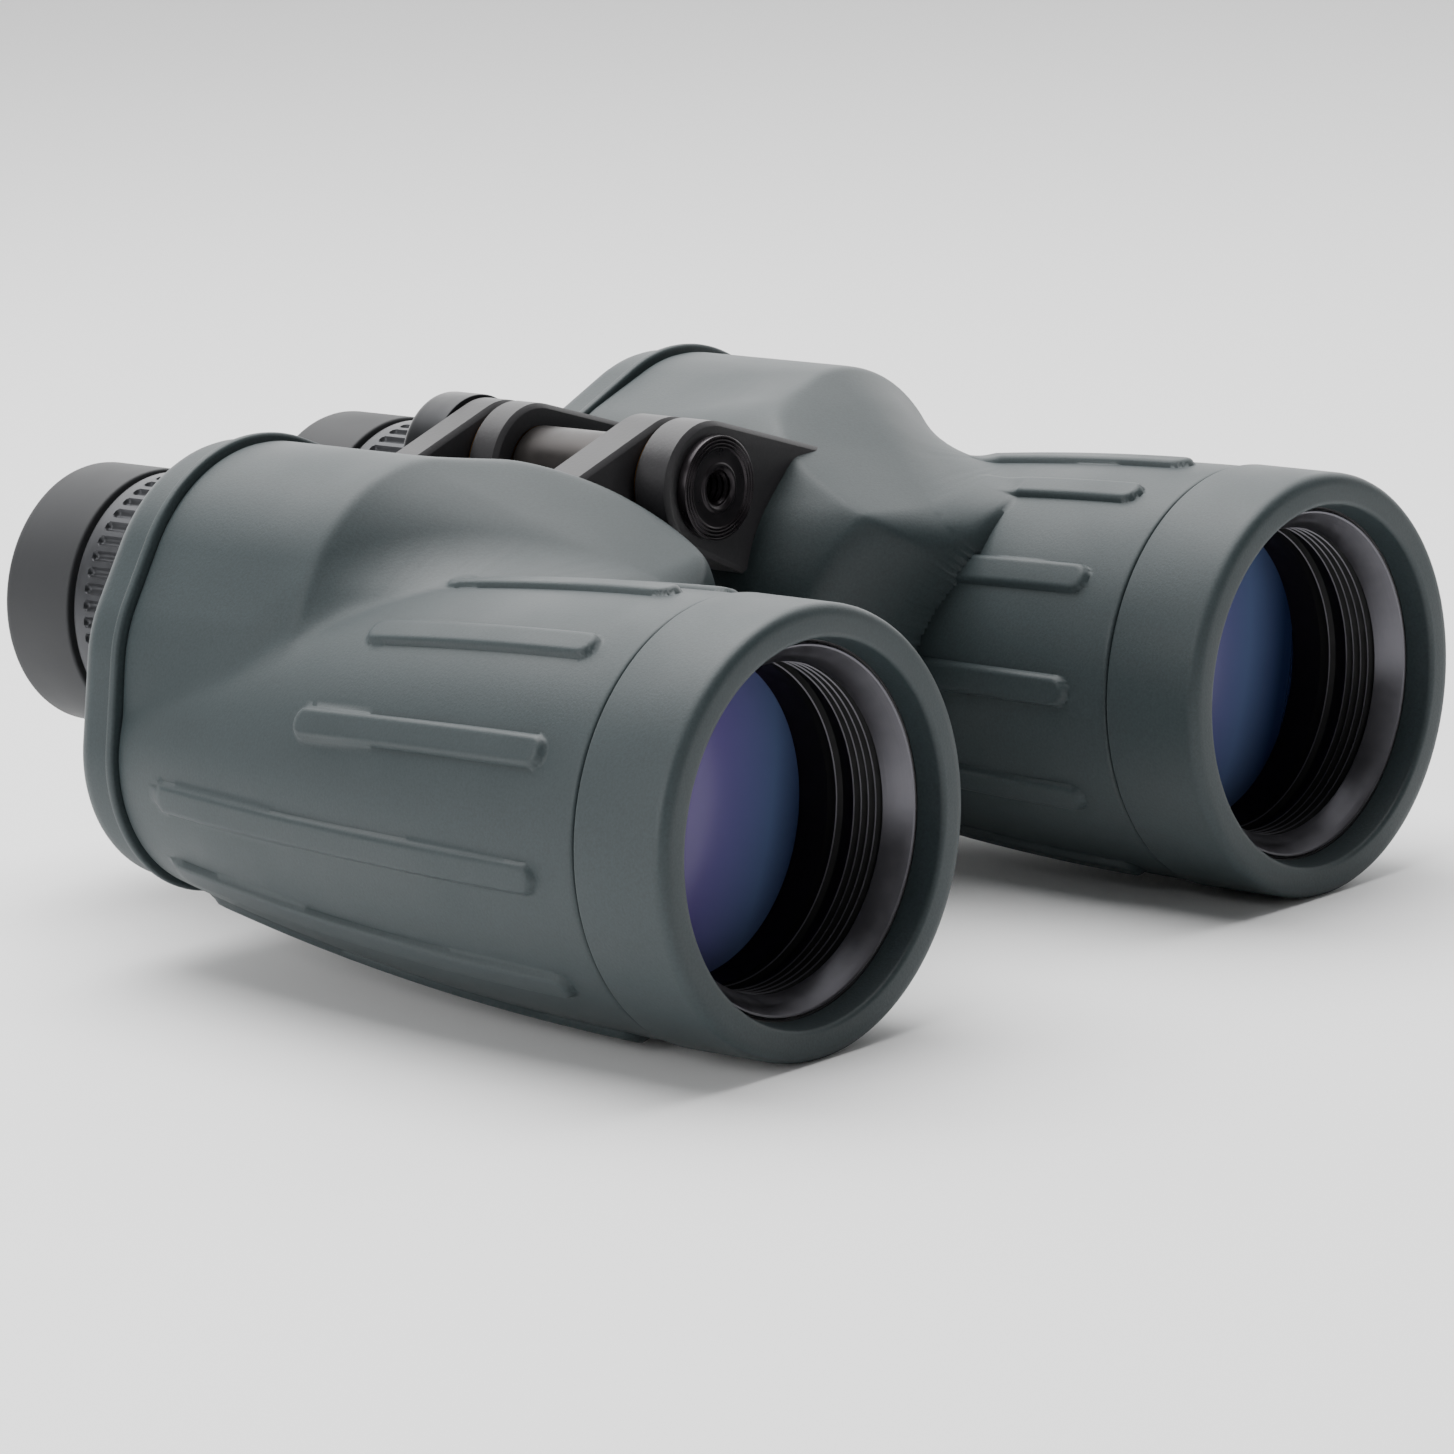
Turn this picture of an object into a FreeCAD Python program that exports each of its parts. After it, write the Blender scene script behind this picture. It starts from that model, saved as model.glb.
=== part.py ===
import FreeCAD, Part
import math
import os

# Porro-prism binoculars: two rubber-armoured halves folding about a central hinge.
# Millimetres. While it is built, Y runs from the front lips (y = 0) to the eyecups,
# X is 0 on the hinge plane, and Z is 0 on the two objective axes (hinge above them).
# On export everything moves so that the origin is the bottom centre of the whole.
# Left and right are those of the person looking through: left is +X.

os.makedirs("parts", exist_ok=True)
V = FreeCAD.Vector

# ---------------------------------------------------------------- main sizes
OBJ_HALF = 65.0           # objective axis from the hinge plane
EYE_X = 30.2              # eyepiece axis from the hinge plane
EYE_Z = 14.1              # eyepiece axis above the objective axis
HINGE_Z = 37.4            # hinge axis above the objective axis
LENGTH = 193.7            # front lip to eyecup rim
SEAM_Y = 130.0            # housing meets rear cover
BARREL_R = 35.2           # armoured barrel just behind the bumper
SEAM_R = 23.33            # the same barrel's radius at the seam, which the prisms need
ARMOUR_T = 2.0
WALL_T = 2.2
SAME = 0.15               # one curved skin kept this far inside another before they are joined

# front bumper
BUMPER_R = BARREL_R + 0.5
BUMPER_LIP_R = BARREL_R - 4.8
BUMPER_LEN = 18.3
BUMPER_LIP_T = 3.2
BUMPER_FILLET = 2.2
BUMPER_GAP = 0.35

# casting spigot and objective cell
SPIGOT_R = BARREL_R - 2.6
SPIGOT_Y = 5.0
CELL_R = BARREL_R - 6.0
CELL_FRONT_Y = 4.6
CELL_CONE_DEPTH = 4.2
CELL_BORE_R = BARREL_R - 9.4
CELL_END_Y = 44.0
LENS_SEAT_Y = 26.0
LENS_R = BARREL_R - 8.2
LENS_FIT = 0.1
BAFFLES = 6
BAFFLE_PITCH = 2.5
BAFFLE_W = 1.3
BAFFLE_DEEP = 0.8
SEAL_Y = 15.5
SEAL_R = 0.8

# grip ribs on the barrels
RIB_W = 5.0
RIB_H = 1.1
RIB_FRONT_Y = 27.0
RIBS = (
    (90.0, 75.0),
    (58.0, 77.0),
    (26.5, 84.0),
    (-5.7, 119.0),
    (-38.5, 121.0),
    (-70.0, 123.0),
    (113.0, 63.0),
    (144.5, 62.5),
    (176.0, 62.0),
    (-152.5, 62.0),
    (-118.0, 75.0),
)

# prism housing: the hull of three circles (objective, top, inboard)
TOP_X = OBJ_HALF - 12.5
TOP_Z = 20.0
TOP_R = 28.7
IN_X = 31.0
IN_Z = 15.5
IN_R = 24.3
SLOPE = 0.53              # fall of the shoulder per millimetre forward
SLOPE_Y = 94.0            # where the shoulder starts to fall
NOSE_Y = 56.0             # front end of the housing
STEP_IN = 1.2             # inboard shoulder under the top of the slope
STEP_OUT = 3.0            # outboard shoulder under the top of the slope

# prisms and their plate
PRISM_SHIFT = math.hypot(OBJ_HALF - EYE_X, EYE_Z) / math.sqrt(2.0)
PRISM_W = 24.0
PRISM_END = 1.5           # ground off each sharp end
PLATE_Y = 106.5
PLATE_T = 2.6
PLATE_LEDGE = 0.9
BEAM_R = 11.5
CLIP_T = 0.5
CLIP_W = 6.0
CLIP_FOOT = 3.4
CLIP_GAP = 0.05
CLIP_SCREW_R = 1.3

# rear cover
GASKET_T = 0.3
COVER_T = 10.7
COVER_WALL = 2.6
COVER_LIP = 1.25
COVER_LIP_W = 1.7
TUBE_END_Y = 55.0         # objective tube meets the prism casting
TUBE_SPIGOT_Y = 57.8      # end of the spigot that enters the casting
TUBE_SPIGOT_R = BARREL_R - 4.6
SCREW_R = 1.25
SCREW_HEAD_R = 2.4
SCREW_HEAD_T = 1.6
BOSS_R = 3.4
BOSS_WEB = 3.0
BOSS_Y = 113.0

# eyepiece
GUIDE_R = 18.0
GUIDE_BORE = 15.6
GUIDE_FRONT_Y = 134.5
GUIDE_END_Y = 162.5
GUIDE_FLANGE_R = GUIDE_R + 1.2
GUIDE_FLANGE_T = 1.4
SLIDE_FIT = 0.06
TURN_FIT = 0.08
FOCUS_TRAVEL = 3.7
RING_FRONT_Y = 147.0
RING_END_Y = 177.1
RING_R = GUIDE_R + 3.4
RING_WEB_Y = 171.0
KNURLS = 48
KNURL_R = 0.85
KNURL_FRONT_Y = 149.0
KNURL_END_Y = 174.6
RETAINER_Y = 169.2
RETAINER_T = 1.4
RETAINER_R = 17.2
CUP_Y = 178.0
CUP_R = 22.5
CUP_MOUTH_R = 19.8
SLEEVE_FRONT_Y = 136.2
SLEEVE_BORE = 13.4
SLEEVE_FLANGE_Y = 177.4
SLEEVE_SPIGOT_R = 17.0
SLEEVE_END_Y = 185.0
FIELD_LENS_Y = 139.0
EYE_LENS_Y = 172.5
EYE_R = 13.0

# cover screws: in the top wheel, under the inboard edge, beside the eyepiece, below the barrel
OUT_BOSS = SEAM_R - 7.63
BOSSES = (
    (TOP_X + 23.5, TOP_Z),
    (OBJ_HALF - 20.0, -0.386 * SEAM_R),
    (EYE_X + 0.40 * (GUIDE_R + 5.1), EYE_Z + 0.917 * (GUIDE_R + 5.1)),
    (OBJ_HALF + 0.605 * OUT_BOSS, -0.796 * OUT_BOSS),
)

# hinge
SHAFT_R = 6.0
SHAFT_FRONT_Y = 76.9
SHAFT_END_Y = 134.4
KNUCKLE_R = 11.0
BUSH_T = 1.2
SHAFT_FIT = 0.03
TUBE_R = 7.3
ARM_X = 26.0
ARM_Z = 27.0
ARM_R = 12.9
LEFT_FRONT = (77.0, 84.9)
RIGHT_FRONT = (85.5, 94.0)
LEFT_REAR = (116.0, 122.6)
RIGHT_REAR = (123.2, 129.8)
FLANGE_T = 0.4
SOCKET_R = 8.75
SOCKET_T = 1.9
SOCKET_BODY_R = 4.2
SOCKET_LEN = 11.0
THREAD_R = 2.6            # tapping size of the tripod thread
THREAD_LEN = 9.0
NUT_R = 9.0
NUT_T = 3.2
CAP_R = 11.5
CAP_END_Y = 137.8
CAP_WALL = 1.4


# ---------------------------------------------------------------- helpers
def cyl(r, y0, y1, x=0.0, z=0.0):
    """Solid cylinder along Y between two stations."""
    return Part.makeCylinder(r, y1 - y0, V(x, y0, z), V(0, 1, 0))


def tube(r_out, r_in, y0, y1, x=0.0, z=0.0):
    """Plain ring along Y."""
    return cyl(r_out, y0, y1, x, z).cut(cyl(r_in, y0 - 1, y1 + 1, x, z))


def turned(points, x=0.0, z=0.0):
    """Solid turned about a Y axis from (radius, y) corner points."""
    pts = [V(x + r, y, z) for r, y in points]
    face = Part.Face(Part.makePolygon(pts + [pts[0]]))
    return face.revolve(V(x, 0, z), V(0, 1, 0), 360)


def mirrored(shape):
    """The same piece for the right half."""
    return shape.mirror(V(0, 0, 0), V(1, 0, 0))


def one(shape):
    """The single solid of a shape, refined."""
    shape = shape.removeSplitter()
    return max(shape.Solids, key=lambda s: s.Volume)


def save(name, shape):
    """Move to the shared frame and write one node."""
    out = shape.copy()
    out.translate(V(0, -LENGTH / 2.0, BUMPER_R))
    out.exportStep("parts/" + name + ".step")


# ---------------------------------------------------------------- outer form
def barrel_r(y):
    """Radius of the armoured barrel at a station: a curve from BARREL_R to SEAM_R."""
    d = max(0.0, y - 20.0)
    full = SEAM_Y - 20.0
    return BARREL_R - (BARREL_R - SEAM_R) * (0.01 * d + 0.00089 * d * d) / (0.01 * full + 0.00089 * full * full)


def barrel(inset, y0, y1):
    """Barrel solid, its skin moved in by inset (out if negative)."""
    steps = 8
    ys = [y0 + (y1 - y0) * i / steps for i in range(steps + 1)]
    curve = Part.BSplineCurve()
    curve.interpolate([V(OBJ_HALF + barrel_r(y) - inset, y, 0) for y in ys])
    skin = curve.toShape()
    a = V(OBJ_HALF, y0, 0)
    b = V(OBJ_HALF, y1, 0)
    ends = [skin.Vertexes[-1].Point, skin.Vertexes[0].Point]
    wire = Part.Wire([skin, Part.makeLine(ends[0], b), Part.makeLine(b, a), Part.makeLine(a, ends[1])])
    return Part.Face(wire).revolve(V(OBJ_HALF, 0, 0), V(0, 1, 0), 360)


def hull_wire(circles, y):
    """Closed outline around three circles (x, z, r), counter-clockwise, at station y."""
    normals = []
    for i in range(3):
        x0, z0, r0 = circles[i]
        x1, z1, r1 = circles[(i + 1) % 3]
        dx, dz = x1 - x0, z1 - z0
        gap = math.hypot(dx, dz)
        c = (r0 - r1) / gap
        s = math.sqrt(1.0 - c * c)
        dx, dz = dx / gap, dz / gap
        normals.append((dx * c + dz * s, dz * c - dx * s))
    edges = []
    for i in range(3):
        x, z, r = circles[i]
        n_in = normals[i - 1]
        n_out = normals[i]
        a0 = math.atan2(n_in[1], n_in[0])
        a1 = math.atan2(n_out[1], n_out[0])
        if a1 < a0:
            a1 += 2.0 * math.pi
        am = (a0 + a1) / 2.0
        p = [V(x + r * math.cos(a), y, z + r * math.sin(a)) for a in (a0, am, a1)]
        edges.append(Part.Arc(p[0], p[1], p[2]).toShape())
        xn, zn, rn = circles[(i + 1) % 3]
        q = V(xn + rn * n_out[0], y, zn + rn * n_out[1])
        edges.append(Part.makeLine(p[2], q))
    return Part.Wire(edges)


def housing_section(y, inset):
    """Housing outline at a station: full at the back, falling away over the shoulder."""
    top = TOP_Z + TOP_R
    d = SLOPE_Y - y
    soft = 5.0
    if d <= -soft:
        fall = 0.0
    elif d >= soft:
        fall = SLOPE * d
    else:
        fall = SLOPE * (d + soft) ** 2 / (4.0 * soft)
    z_top = top - fall
    r_top = TOP_R - 0.55 * fall
    low = max(0.0, IN_Z + IN_R - z_top + STEP_IN)
    r_in = IN_R - 0.5 * low
    x_in = IN_X - IN_R + 0.6 * low
    return (
        (OBJ_HALF, 0.0, min(barrel_r(y) - SAME, z_top - STEP_OUT) - inset),
        (TOP_X + TOP_R - fall - r_top, z_top - r_top, r_top - inset),
        (x_in + r_in, IN_Z + IN_R - low - r_in, r_in - inset),
    )


def housing(inset, y0, y1):
    """Prism housing between two stations, its skin moved in by inset."""
    stops = [y0] + [y for y in (62.0, 70.0, 80.0, 89.0, 92.5, 95.0, 99.0, 115.0) if y0 + 1 < y < y1 - 1] + [y1]
    return Part.makeLoft([hull_wire(housing_section(y, inset), y) for y in stops], True, True)


def form(inset, barrel_y0, nose_y, y1):
    """Barrel and housing joined."""
    return barrel(inset, barrel_y0, y1).fuse(housing(inset, nose_y, y1))


def back_plate(inset, y0, y1):
    """Slab with the outline the housing has at the seam."""
    wire = hull_wire(housing_section(SEAM_Y, inset), y0)
    return Part.Face(wire).extrude(V(0, y1 - y0, 0))


# ---------------------------------------------------------------- casting and armour
outer = form(0.0, BUMPER_LEN + BUMPER_GAP, NOSE_Y, SEAM_Y)
core = form(ARMOUR_T, BUMPER_LEN + BUMPER_GAP, NOSE_Y + ARMOUR_T, SEAM_Y)
hollow = form(ARMOUR_T + WALL_T, CELL_END_Y + 2.0, NOSE_Y + ARMOUR_T + WALL_T, SEAM_Y + 1.0)

ledge = back_plate(ARMOUR_T + WALL_T - 0.1, PLATE_Y - 1.6, PLATE_Y)
ledge = ledge.cut(back_plate(ARMOUR_T + WALL_T + PLATE_LEDGE, PLATE_Y - 3, PLATE_Y + 1))
core = core.fuse(cyl(SPIGOT_R, SPIGOT_Y, BUMPER_LEN + BUMPER_GAP + 1.0, OBJ_HALF))


def arm(y0, y1):
    """Hinge arm from the knuckle into the housing."""
    n = V(ARM_X, 0, ARM_Z - HINGE_Z)
    gap = n.Length
    c = (KNUCKLE_R - ARM_R) / gap
    base = math.atan2(n.z, n.x)
    turn = math.acos(c)
    pts = []
    for sign in (1, -1):
        a = base + sign * turn
        pts.append(V(KNUCKLE_R * math.cos(a), y0, HINGE_Z + KNUCKLE_R * math.sin(a)))
        pts.append(V(ARM_X + ARM_R * math.cos(a), y0, ARM_Z + ARM_R * math.sin(a)))
    web = Part.Face(Part.makePolygon([pts[0], pts[1], pts[3], pts[2], pts[0]])).extrude(V(0, y1 - y0, 0))
    end = cyl(ARM_R, y0, y1, ARM_X, ARM_Z)
    return web.fuse([cyl(KNUCKLE_R, y0, y1, 0, HINGE_Z), end])


def post(x, z, y0, y1):
    """Screw post with a web reaching outwards to the wall."""
    out = math.degrees(math.atan2(z - 10.0, x - 55.0))
    web = Part.makeBox(9.0, y1 - y0, BOSS_WEB, V(0, y0, -BOSS_WEB / 2.0))
    web.rotate(V(0, 0, 0), V(0, 1, 0), -out)
    web.translate(V(x, 0, z))
    return cyl(BOSS_R, y0, y1, x, z).fuse(web)


def casting(spans, bore):
    """Left-hand casting with arms over the given spans and hinge holes of radius bore."""
    solid = core.fuse([arm(a, b) for a, b in spans])
    solid = solid.cut(hollow)
    posts = [post(x, z, BOSS_Y, SEAM_Y) for x, z in BOSSES]
    solid = solid.fuse([p.common(core) for p in posts] + [ledge.common(core)])
    tools = [cyl(CELL_R, 0, CELL_END_Y + 3.0, OBJ_HALF), cyl(bore, 60, 150, 0, HINGE_Z)]
    tools += [cyl(SCREW_R, SEAM_Y - 9.0, SEAM_Y + 1.0, x, z) for x, z in BOSSES]
    for tool in tools:
        solid = solid.cut(tool)
    front = cyl(BARREL_R + 5.0, 0, TUBE_END_Y, OBJ_HALF).fuse(cyl(TUBE_SPIGOT_R, TUBE_END_Y - 1.0, TUBE_SPIGOT_Y, OBJ_HALF))
    return one(solid.cut(front)), one(solid.common(front))


def rib(angle, y1):
    """Rounded bar standing out of the barrel skin at an angle from outboard."""
    half = RIB_W / 2.0
    y0 = RIB_FRONT_Y
    bar = Part.makeBox(RIB_W, y1 - y0 - RIB_W, 16.0, V(-half, y0 + half, BARREL_R - 11.2))
    for y in (y0 + half, y1 - half):
        bar = bar.fuse(Part.makeCylinder(half, 16.0, V(0, y, BARREL_R - 11.2), V(0, 0, 1)))
    bar.rotate(V(0, 0, 0), V(0, 1, 0), 90.0 - angle)
    bar.translate(V(OBJ_HALF, 0, 0))
    return bar


rib_skin = barrel(-RIB_H, BUMPER_LEN + BUMPER_GAP, SEAM_Y)
rib_bars = [rib(a, y1).common(rib_skin) for a, y1 in RIBS]
armour_blank = outer.fuse(rib_bars)

left_body, objective_tube = casting((LEFT_FRONT, LEFT_REAR), SHAFT_R + BUSH_T)
right_body = mirrored(casting((RIGHT_FRONT, RIGHT_REAR), SHAFT_R)[0])


def armour(spans):
    """Rubber skin for one half, open where the arms come out."""
    skin = armour_blank.cut(core)
    for a, b in spans:
        skin = skin.cut(arm(a, b))
    return one(skin)


left_armour = armour((LEFT_FRONT, LEFT_REAR))
right_armour = mirrored(armour((RIGHT_FRONT, RIGHT_REAR)))
save("left_body", left_body)
save("right_body", right_body)
save("left_armour", left_armour)
save("right_armour", right_armour)


# ---------------------------------------------------------------- pieces both halves share
def lens(r, y_edge, edge, front_sag, rear_sag, x, z):
    """Turned lens: positive sag bulges forward at the front, rearward at the back."""
    a = V(x, y_edge - front_sag, z)
    b = V(x + r, y_edge, z)
    c = V(x + r, y_edge + edge, z)
    d = V(x, y_edge + edge + rear_sag, z)
    half = r * 0.5
    bend = [(r * r + sag * sag) / (2.0 * sag) for sag in (front_sag, rear_sag)]
    drop = [k - math.sqrt(k * k - half * half) for k in bend]
    am = V(x + half, y_edge - front_sag + drop[0], z)
    dm = V(x + half, y_edge + edge + rear_sag - drop[1], z)
    front = Part.Arc(a, am, b).toShape()
    rear = Part.Arc(c, dm, d).toShape()
    wire = Part.Wire([front, Part.makeLine(b, c), rear, Part.makeLine(d, a)])
    return Part.Face(wire).revolve(V(x, 0, z), V(0, 1, 0), 360)


def prism(first, second, y, way):
    """Right-angle prism on the plate: its long face at y, its ridge towards way."""
    ux = (second[0] - first[0]) / PRISM_SHIFT
    uz = (second[1] - first[1]) / PRISM_SHIFT
    mid = V((first[0] + second[0]) / 2.0, y, (first[1] + second[1]) / 2.0)
    u = V(ux, 0, uz)
    w = V(-uz, 0, ux)
    half = PRISM_SHIFT - PRISM_END
    high = PRISM_SHIFT
    ridge = 1.2
    corners = [(-half, 0), (-half, PRISM_END), (-ridge, high - ridge), (ridge, high - ridge), (half, PRISM_END), (half, 0)]
    pts = [mid + u * a + V(0, way * b, 0) - w * (PRISM_W / 2.0) for a, b in corners]
    face = Part.Face(Part.makePolygon(pts + [pts[0]]))
    return face.extrude(w * PRISM_W), mid, u, w, half, high, ridge


def clip(mid, u, w, half, high, ridge, way):
    """Sprung strap over a prism with a foot at each end, and its two screws."""
    g = CLIP_GAP
    t = CLIP_T
    k = math.tan(math.radians(22.5))
    inner = [(-half - g, 0), (-half - g, PRISM_END + g * k), (-ridge, high - ridge + g * 1.4142)]
    outer_line = [(-half - g - t, t), (-half - g - t, PRISM_END + (g + t) * k), (-ridge, high - ridge + (g + t) * 1.4142)]
    left = [(-half - CLIP_FOOT, 0), (-half - CLIP_FOOT, t)]
    run = inner + [(-a, b) for a, b in reversed(inner)]
    run += [(-a, b) for a, b in left]
    run += [(-a, b) for a, b in outer_line]
    run += list(reversed(outer_line)) + list(reversed(left))
    pts = [mid + u * a + V(0, way * b, 0) - w * (CLIP_W / 2.0) for a, b in run]
    strap = Part.Face(Part.makePolygon(pts + [pts[0]])).extrude(w * CLIP_W)
    screws = []
    for sign in (-1, 1):
        at = mid + u * (sign * (half + CLIP_T + 0.5 * CLIP_FOOT))
        down = V(0, -way, 0)
        up = V(0, way, 0)
        head = Part.makeCylinder(CLIP_SCREW_R, 0.9, at + up * t, up)
        shank = Part.makeCylinder(0.6, t + 1.8, at + up * t, down)
        slot = Part.makeBox(0.35, 0.4, 3.4, V(-0.175, -0.2, -1.7))
        slot.translate(at + up * (t + 0.75))
        screws.append(head.cut(slot).fuse(shank))
    return strap, screws


A = (OBJ_HALF, 0.0)
E = (EYE_X, EYE_Z)
run = (E[0] - A[0], E[1] - A[1])
# Each prism shifts the beam by the same length; the two shifts are square to each other.
M = (A[0] + 0.5 * (run[0] + run[1]), A[1] + 0.5 * (run[1] - run[0]))

pieces = {"objective_tube": objective_tube}

pieces["front_bumper"] = one(turned((
    (SPIGOT_R, BUMPER_LIP_T),
    (BUMPER_LIP_R, BUMPER_LIP_T),
    (BUMPER_LIP_R, BUMPER_FILLET * 0.45),
    (BUMPER_LIP_R + BUMPER_FILLET * 0.2, BUMPER_FILLET * 0.1),
    (BUMPER_LIP_R + BUMPER_FILLET * 0.5, 0.0),
    (BUMPER_R - BUMPER_FILLET, 0.0),
    (BUMPER_R - BUMPER_FILLET * 0.5, BUMPER_FILLET * 0.14),
    (BUMPER_R - BUMPER_FILLET * 0.14, BUMPER_FILLET * 0.5),
    (BUMPER_R, BUMPER_FILLET),
    (BUMPER_R, BUMPER_LEN - 0.6),
    (BUMPER_R - 0.6, BUMPER_LEN),
    (SPIGOT_R, BUMPER_LEN),
), OBJ_HALF))

cell = turned((
    (CELL_R, CELL_FRONT_Y + 0.4),
    (CELL_R - 0.3, CELL_FRONT_Y),
    (CELL_R - 0.5, CELL_FRONT_Y + 0.4),
    (CELL_BORE_R, CELL_FRONT_Y + CELL_CONE_DEPTH),
    (CELL_BORE_R, LENS_SEAT_Y),
    (LENS_R + LENS_FIT, LENS_SEAT_Y),
    (LENS_R + LENS_FIT, CELL_END_Y),
    (CELL_R, CELL_END_Y),
), OBJ_HALF)
for i in range(BAFFLES):
    y = CELL_FRONT_Y + CELL_CONE_DEPTH + 0.9 + i * BAFFLE_PITCH
    cell = cell.cut(cyl(CELL_BORE_R + BAFFLE_DEEP, y, y + BAFFLE_W, OBJ_HALF))
cell = cell.cut(tube(CELL_R + 1, CELL_R - 2 * SEAL_R, SEAL_Y - 1.1, SEAL_Y + 1.1, OBJ_HALF))
pieces["objective_cell"] = one(cell)
ring = Part.makeTorus(CELL_R - SEAL_R, SEAL_R, V(OBJ_HALF, SEAL_Y, 0), V(0, 1, 0))
pieces["objective_seal"] = ring

crown_y = LENS_SEAT_Y + 0.35
crown = lens(LENS_R, crown_y, 2.6, 3.0, 3.4, OBJ_HALF, 0)
flint_y = crown_y + 2.6
flint = cyl(LENS_R, flint_y, flint_y + 6.2, OBJ_HALF).cut(crown)
pieces["objective_crown_lens"] = crown
pieces["objective_flint_lens"] = one(flint)
ring_y = flint_y + 6.2
ring = tube(LENS_R + LENS_FIT, LENS_R - 2.2, ring_y, ring_y + 3.0, OBJ_HALF)
for a in (0, 180):
    notch = Part.makeBox(4.0, 1.2, 2.0, V(LENS_R - 3.0, ring_y + 1.9, -1.0))
    notch.rotate(V(0, 0, 0), V(0, 1, 0), a)
    notch.translate(V(OBJ_HALF, 0, 0))
    ring = ring.cut(notch)
pieces["objective_ring"] = one(ring)

rear = prism(A, M, PLATE_Y + PLATE_T, 1.0)
front = prism(M, E, PLATE_Y, -1.0)
pieces["rear_prism"] = rear[0]
pieces["front_prism"] = front[0]
rear_strap, rear_screws = clip(*rear[1:], 1.0)
front_strap, front_screws = clip(*front[1:], -1.0)

plate = back_plate(ARMOUR_T + WALL_T + 0.1, PLATE_Y, PLATE_Y + PLATE_T).common(
    form(ARMOUR_T + WALL_T + 0.1, PLATE_Y - 2, PLATE_Y - 2, PLATE_Y + PLATE_T + 2)
)
for x, z in (A, M, E):
    plate = plate.cut(cyl(BEAM_R, PLATE_Y - 1, PLATE_Y + PLATE_T + 1, x, z))
for x, z in BOSSES:
    plate = plate.cut(cyl(BOSS_R + 0.3, PLATE_Y - 1, PLATE_Y + PLATE_T + 1, x, z))
clip_screws = rear_screws + front_screws
for s in clip_screws:
    plate = plate.cut(s)
    rear_strap = rear_strap.cut(s)
    front_strap = front_strap.cut(s)
pieces["prism_plate"] = one(plate)
pieces["prism_clips"] = Part.makeCompound([one(rear_strap), one(front_strap)])
pieces["prism_clip_screws"] = Part.makeCompound(clip_screws)

# rear cover: a raised lip at its front, then a shallow drum rounded at the back
y0 = SEAM_Y + GASKET_T
y1 = SEAM_Y + GASKET_T + COVER_T


def drum(stations):
    """Loft of the seam outline through (y, inset) stations."""
    wires = [hull_wire(housing_section(SEAM_Y, inset), y) for y, inset in stations]
    return Part.makeLoft(wires, True, True)


lip = drum(((y0, -COVER_LIP + 0.3), (y0 + 0.4, -COVER_LIP), (y0 + COVER_LIP_W, -COVER_LIP), (y0 + COVER_LIP_W + 0.3, 0.3)))
shell = drum(((y0, 0.2), (y1 - 4.0, 0.2), (y1 - 1.8, 0.9), (y1 - 0.5, 2.3), (y1, 4.2)))
cover = shell.fuse(lip)
cavity = back_plate(ARMOUR_T + WALL_T, y0 - 1, y1 - COVER_WALL)
posts = [post(x, z, y0, y1 - 0.8).common(shell) for x, z in BOSSES]
cover = cover.cut(cavity).fuse(posts)
cover = cover.cut(cyl(GUIDE_R, y0 - 1, y1 + 1, EYE_X, EYE_Z))
for x, z in BOSSES:
    cover = cover.cut(cyl(SCREW_R, y0 - 1, y1 + 1, x, z))
    cover = cover.cut(cyl(SCREW_HEAD_R, y1 - SCREW_HEAD_T, y1 + 1, x, z))
pieces["rear_cover"] = one(cover)

gasket = back_plate(0.6, SEAM_Y, y0).cut(back_plate(ARMOUR_T + WALL_T, SEAM_Y - 1, y0 + 1))
gasket = gasket.fuse([post(x, z, SEAM_Y, y0).common(back_plate(1.0, SEAM_Y, y0)) for x, z in BOSSES])
for x, z in BOSSES:
    gasket = gasket.cut(cyl(SCREW_R, SEAM_Y - 1, y0 + 1, x, z))
pieces["cover_gasket"] = one(gasket)

screws = []
for x, z in BOSSES:
    shank = cyl(SCREW_R, SEAM_Y - 8.5, y1 - SCREW_HEAD_T, x, z)
    head = cyl(SCREW_HEAD_R, y1 - SCREW_HEAD_T, y1 - 0.2, x, z)
    screw = shank.fuse(head)
    for a in (0, 90):
        cross = Part.makeBox(2.6, 1.0, 0.6, V(-1.3, y1 - 1.1, -0.3))
        cross.rotate(V(0, 0, 0), V(0, 1, 0), a + 20)
        cross.translate(V(x, 0, z))
        screw = screw.cut(cross)
    screws.append(one(screw))
pieces["cover_screws"] = Part.makeCompound(screws)

# eyepiece, from the fixed guide outwards
guide = tube(GUIDE_R, GUIDE_BORE, GUIDE_FRONT_Y, GUIDE_END_Y, EYE_X, EYE_Z)
guide = guide.fuse(tube(GUIDE_FLANGE_R, GUIDE_BORE, y1, y1 + GUIDE_FLANGE_T, EYE_X, EYE_Z))
pieces["eyepiece_guide"] = one(guide)

SLEEVE_R = GUIDE_BORE - SLIDE_FIT
sleeve = turned((
    (SLEEVE_R, SLEEVE_FRONT_Y),
    (SLEEVE_R, SLEEVE_FLANGE_Y),
    (CUP_R - 3.0, SLEEVE_FLANGE_Y),
    (CUP_R - 3.0, CUP_Y + 2.0),
    (SLEEVE_SPIGOT_R, CUP_Y + 2.0),
    (SLEEVE_SPIGOT_R, SLEEVE_END_Y),
    (EYE_R + 1.4, SLEEVE_END_Y),
    (EYE_R + 0.1, SLEEVE_END_Y - 2.4),
    (EYE_R + 0.1, EYE_LENS_Y - 0.5),
    (SLEEVE_BORE - 1.6, EYE_LENS_Y - 0.5),
    (SLEEVE_BORE - 1.6, FIELD_LENS_Y + 8.0),
    (EYE_R + 0.1, FIELD_LENS_Y + 8.0),
    (EYE_R + 0.1, SLEEVE_FRONT_Y),
), EYE_X, EYE_Z)
pieces["eyepiece_sleeve"] = one(sleeve)
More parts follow.
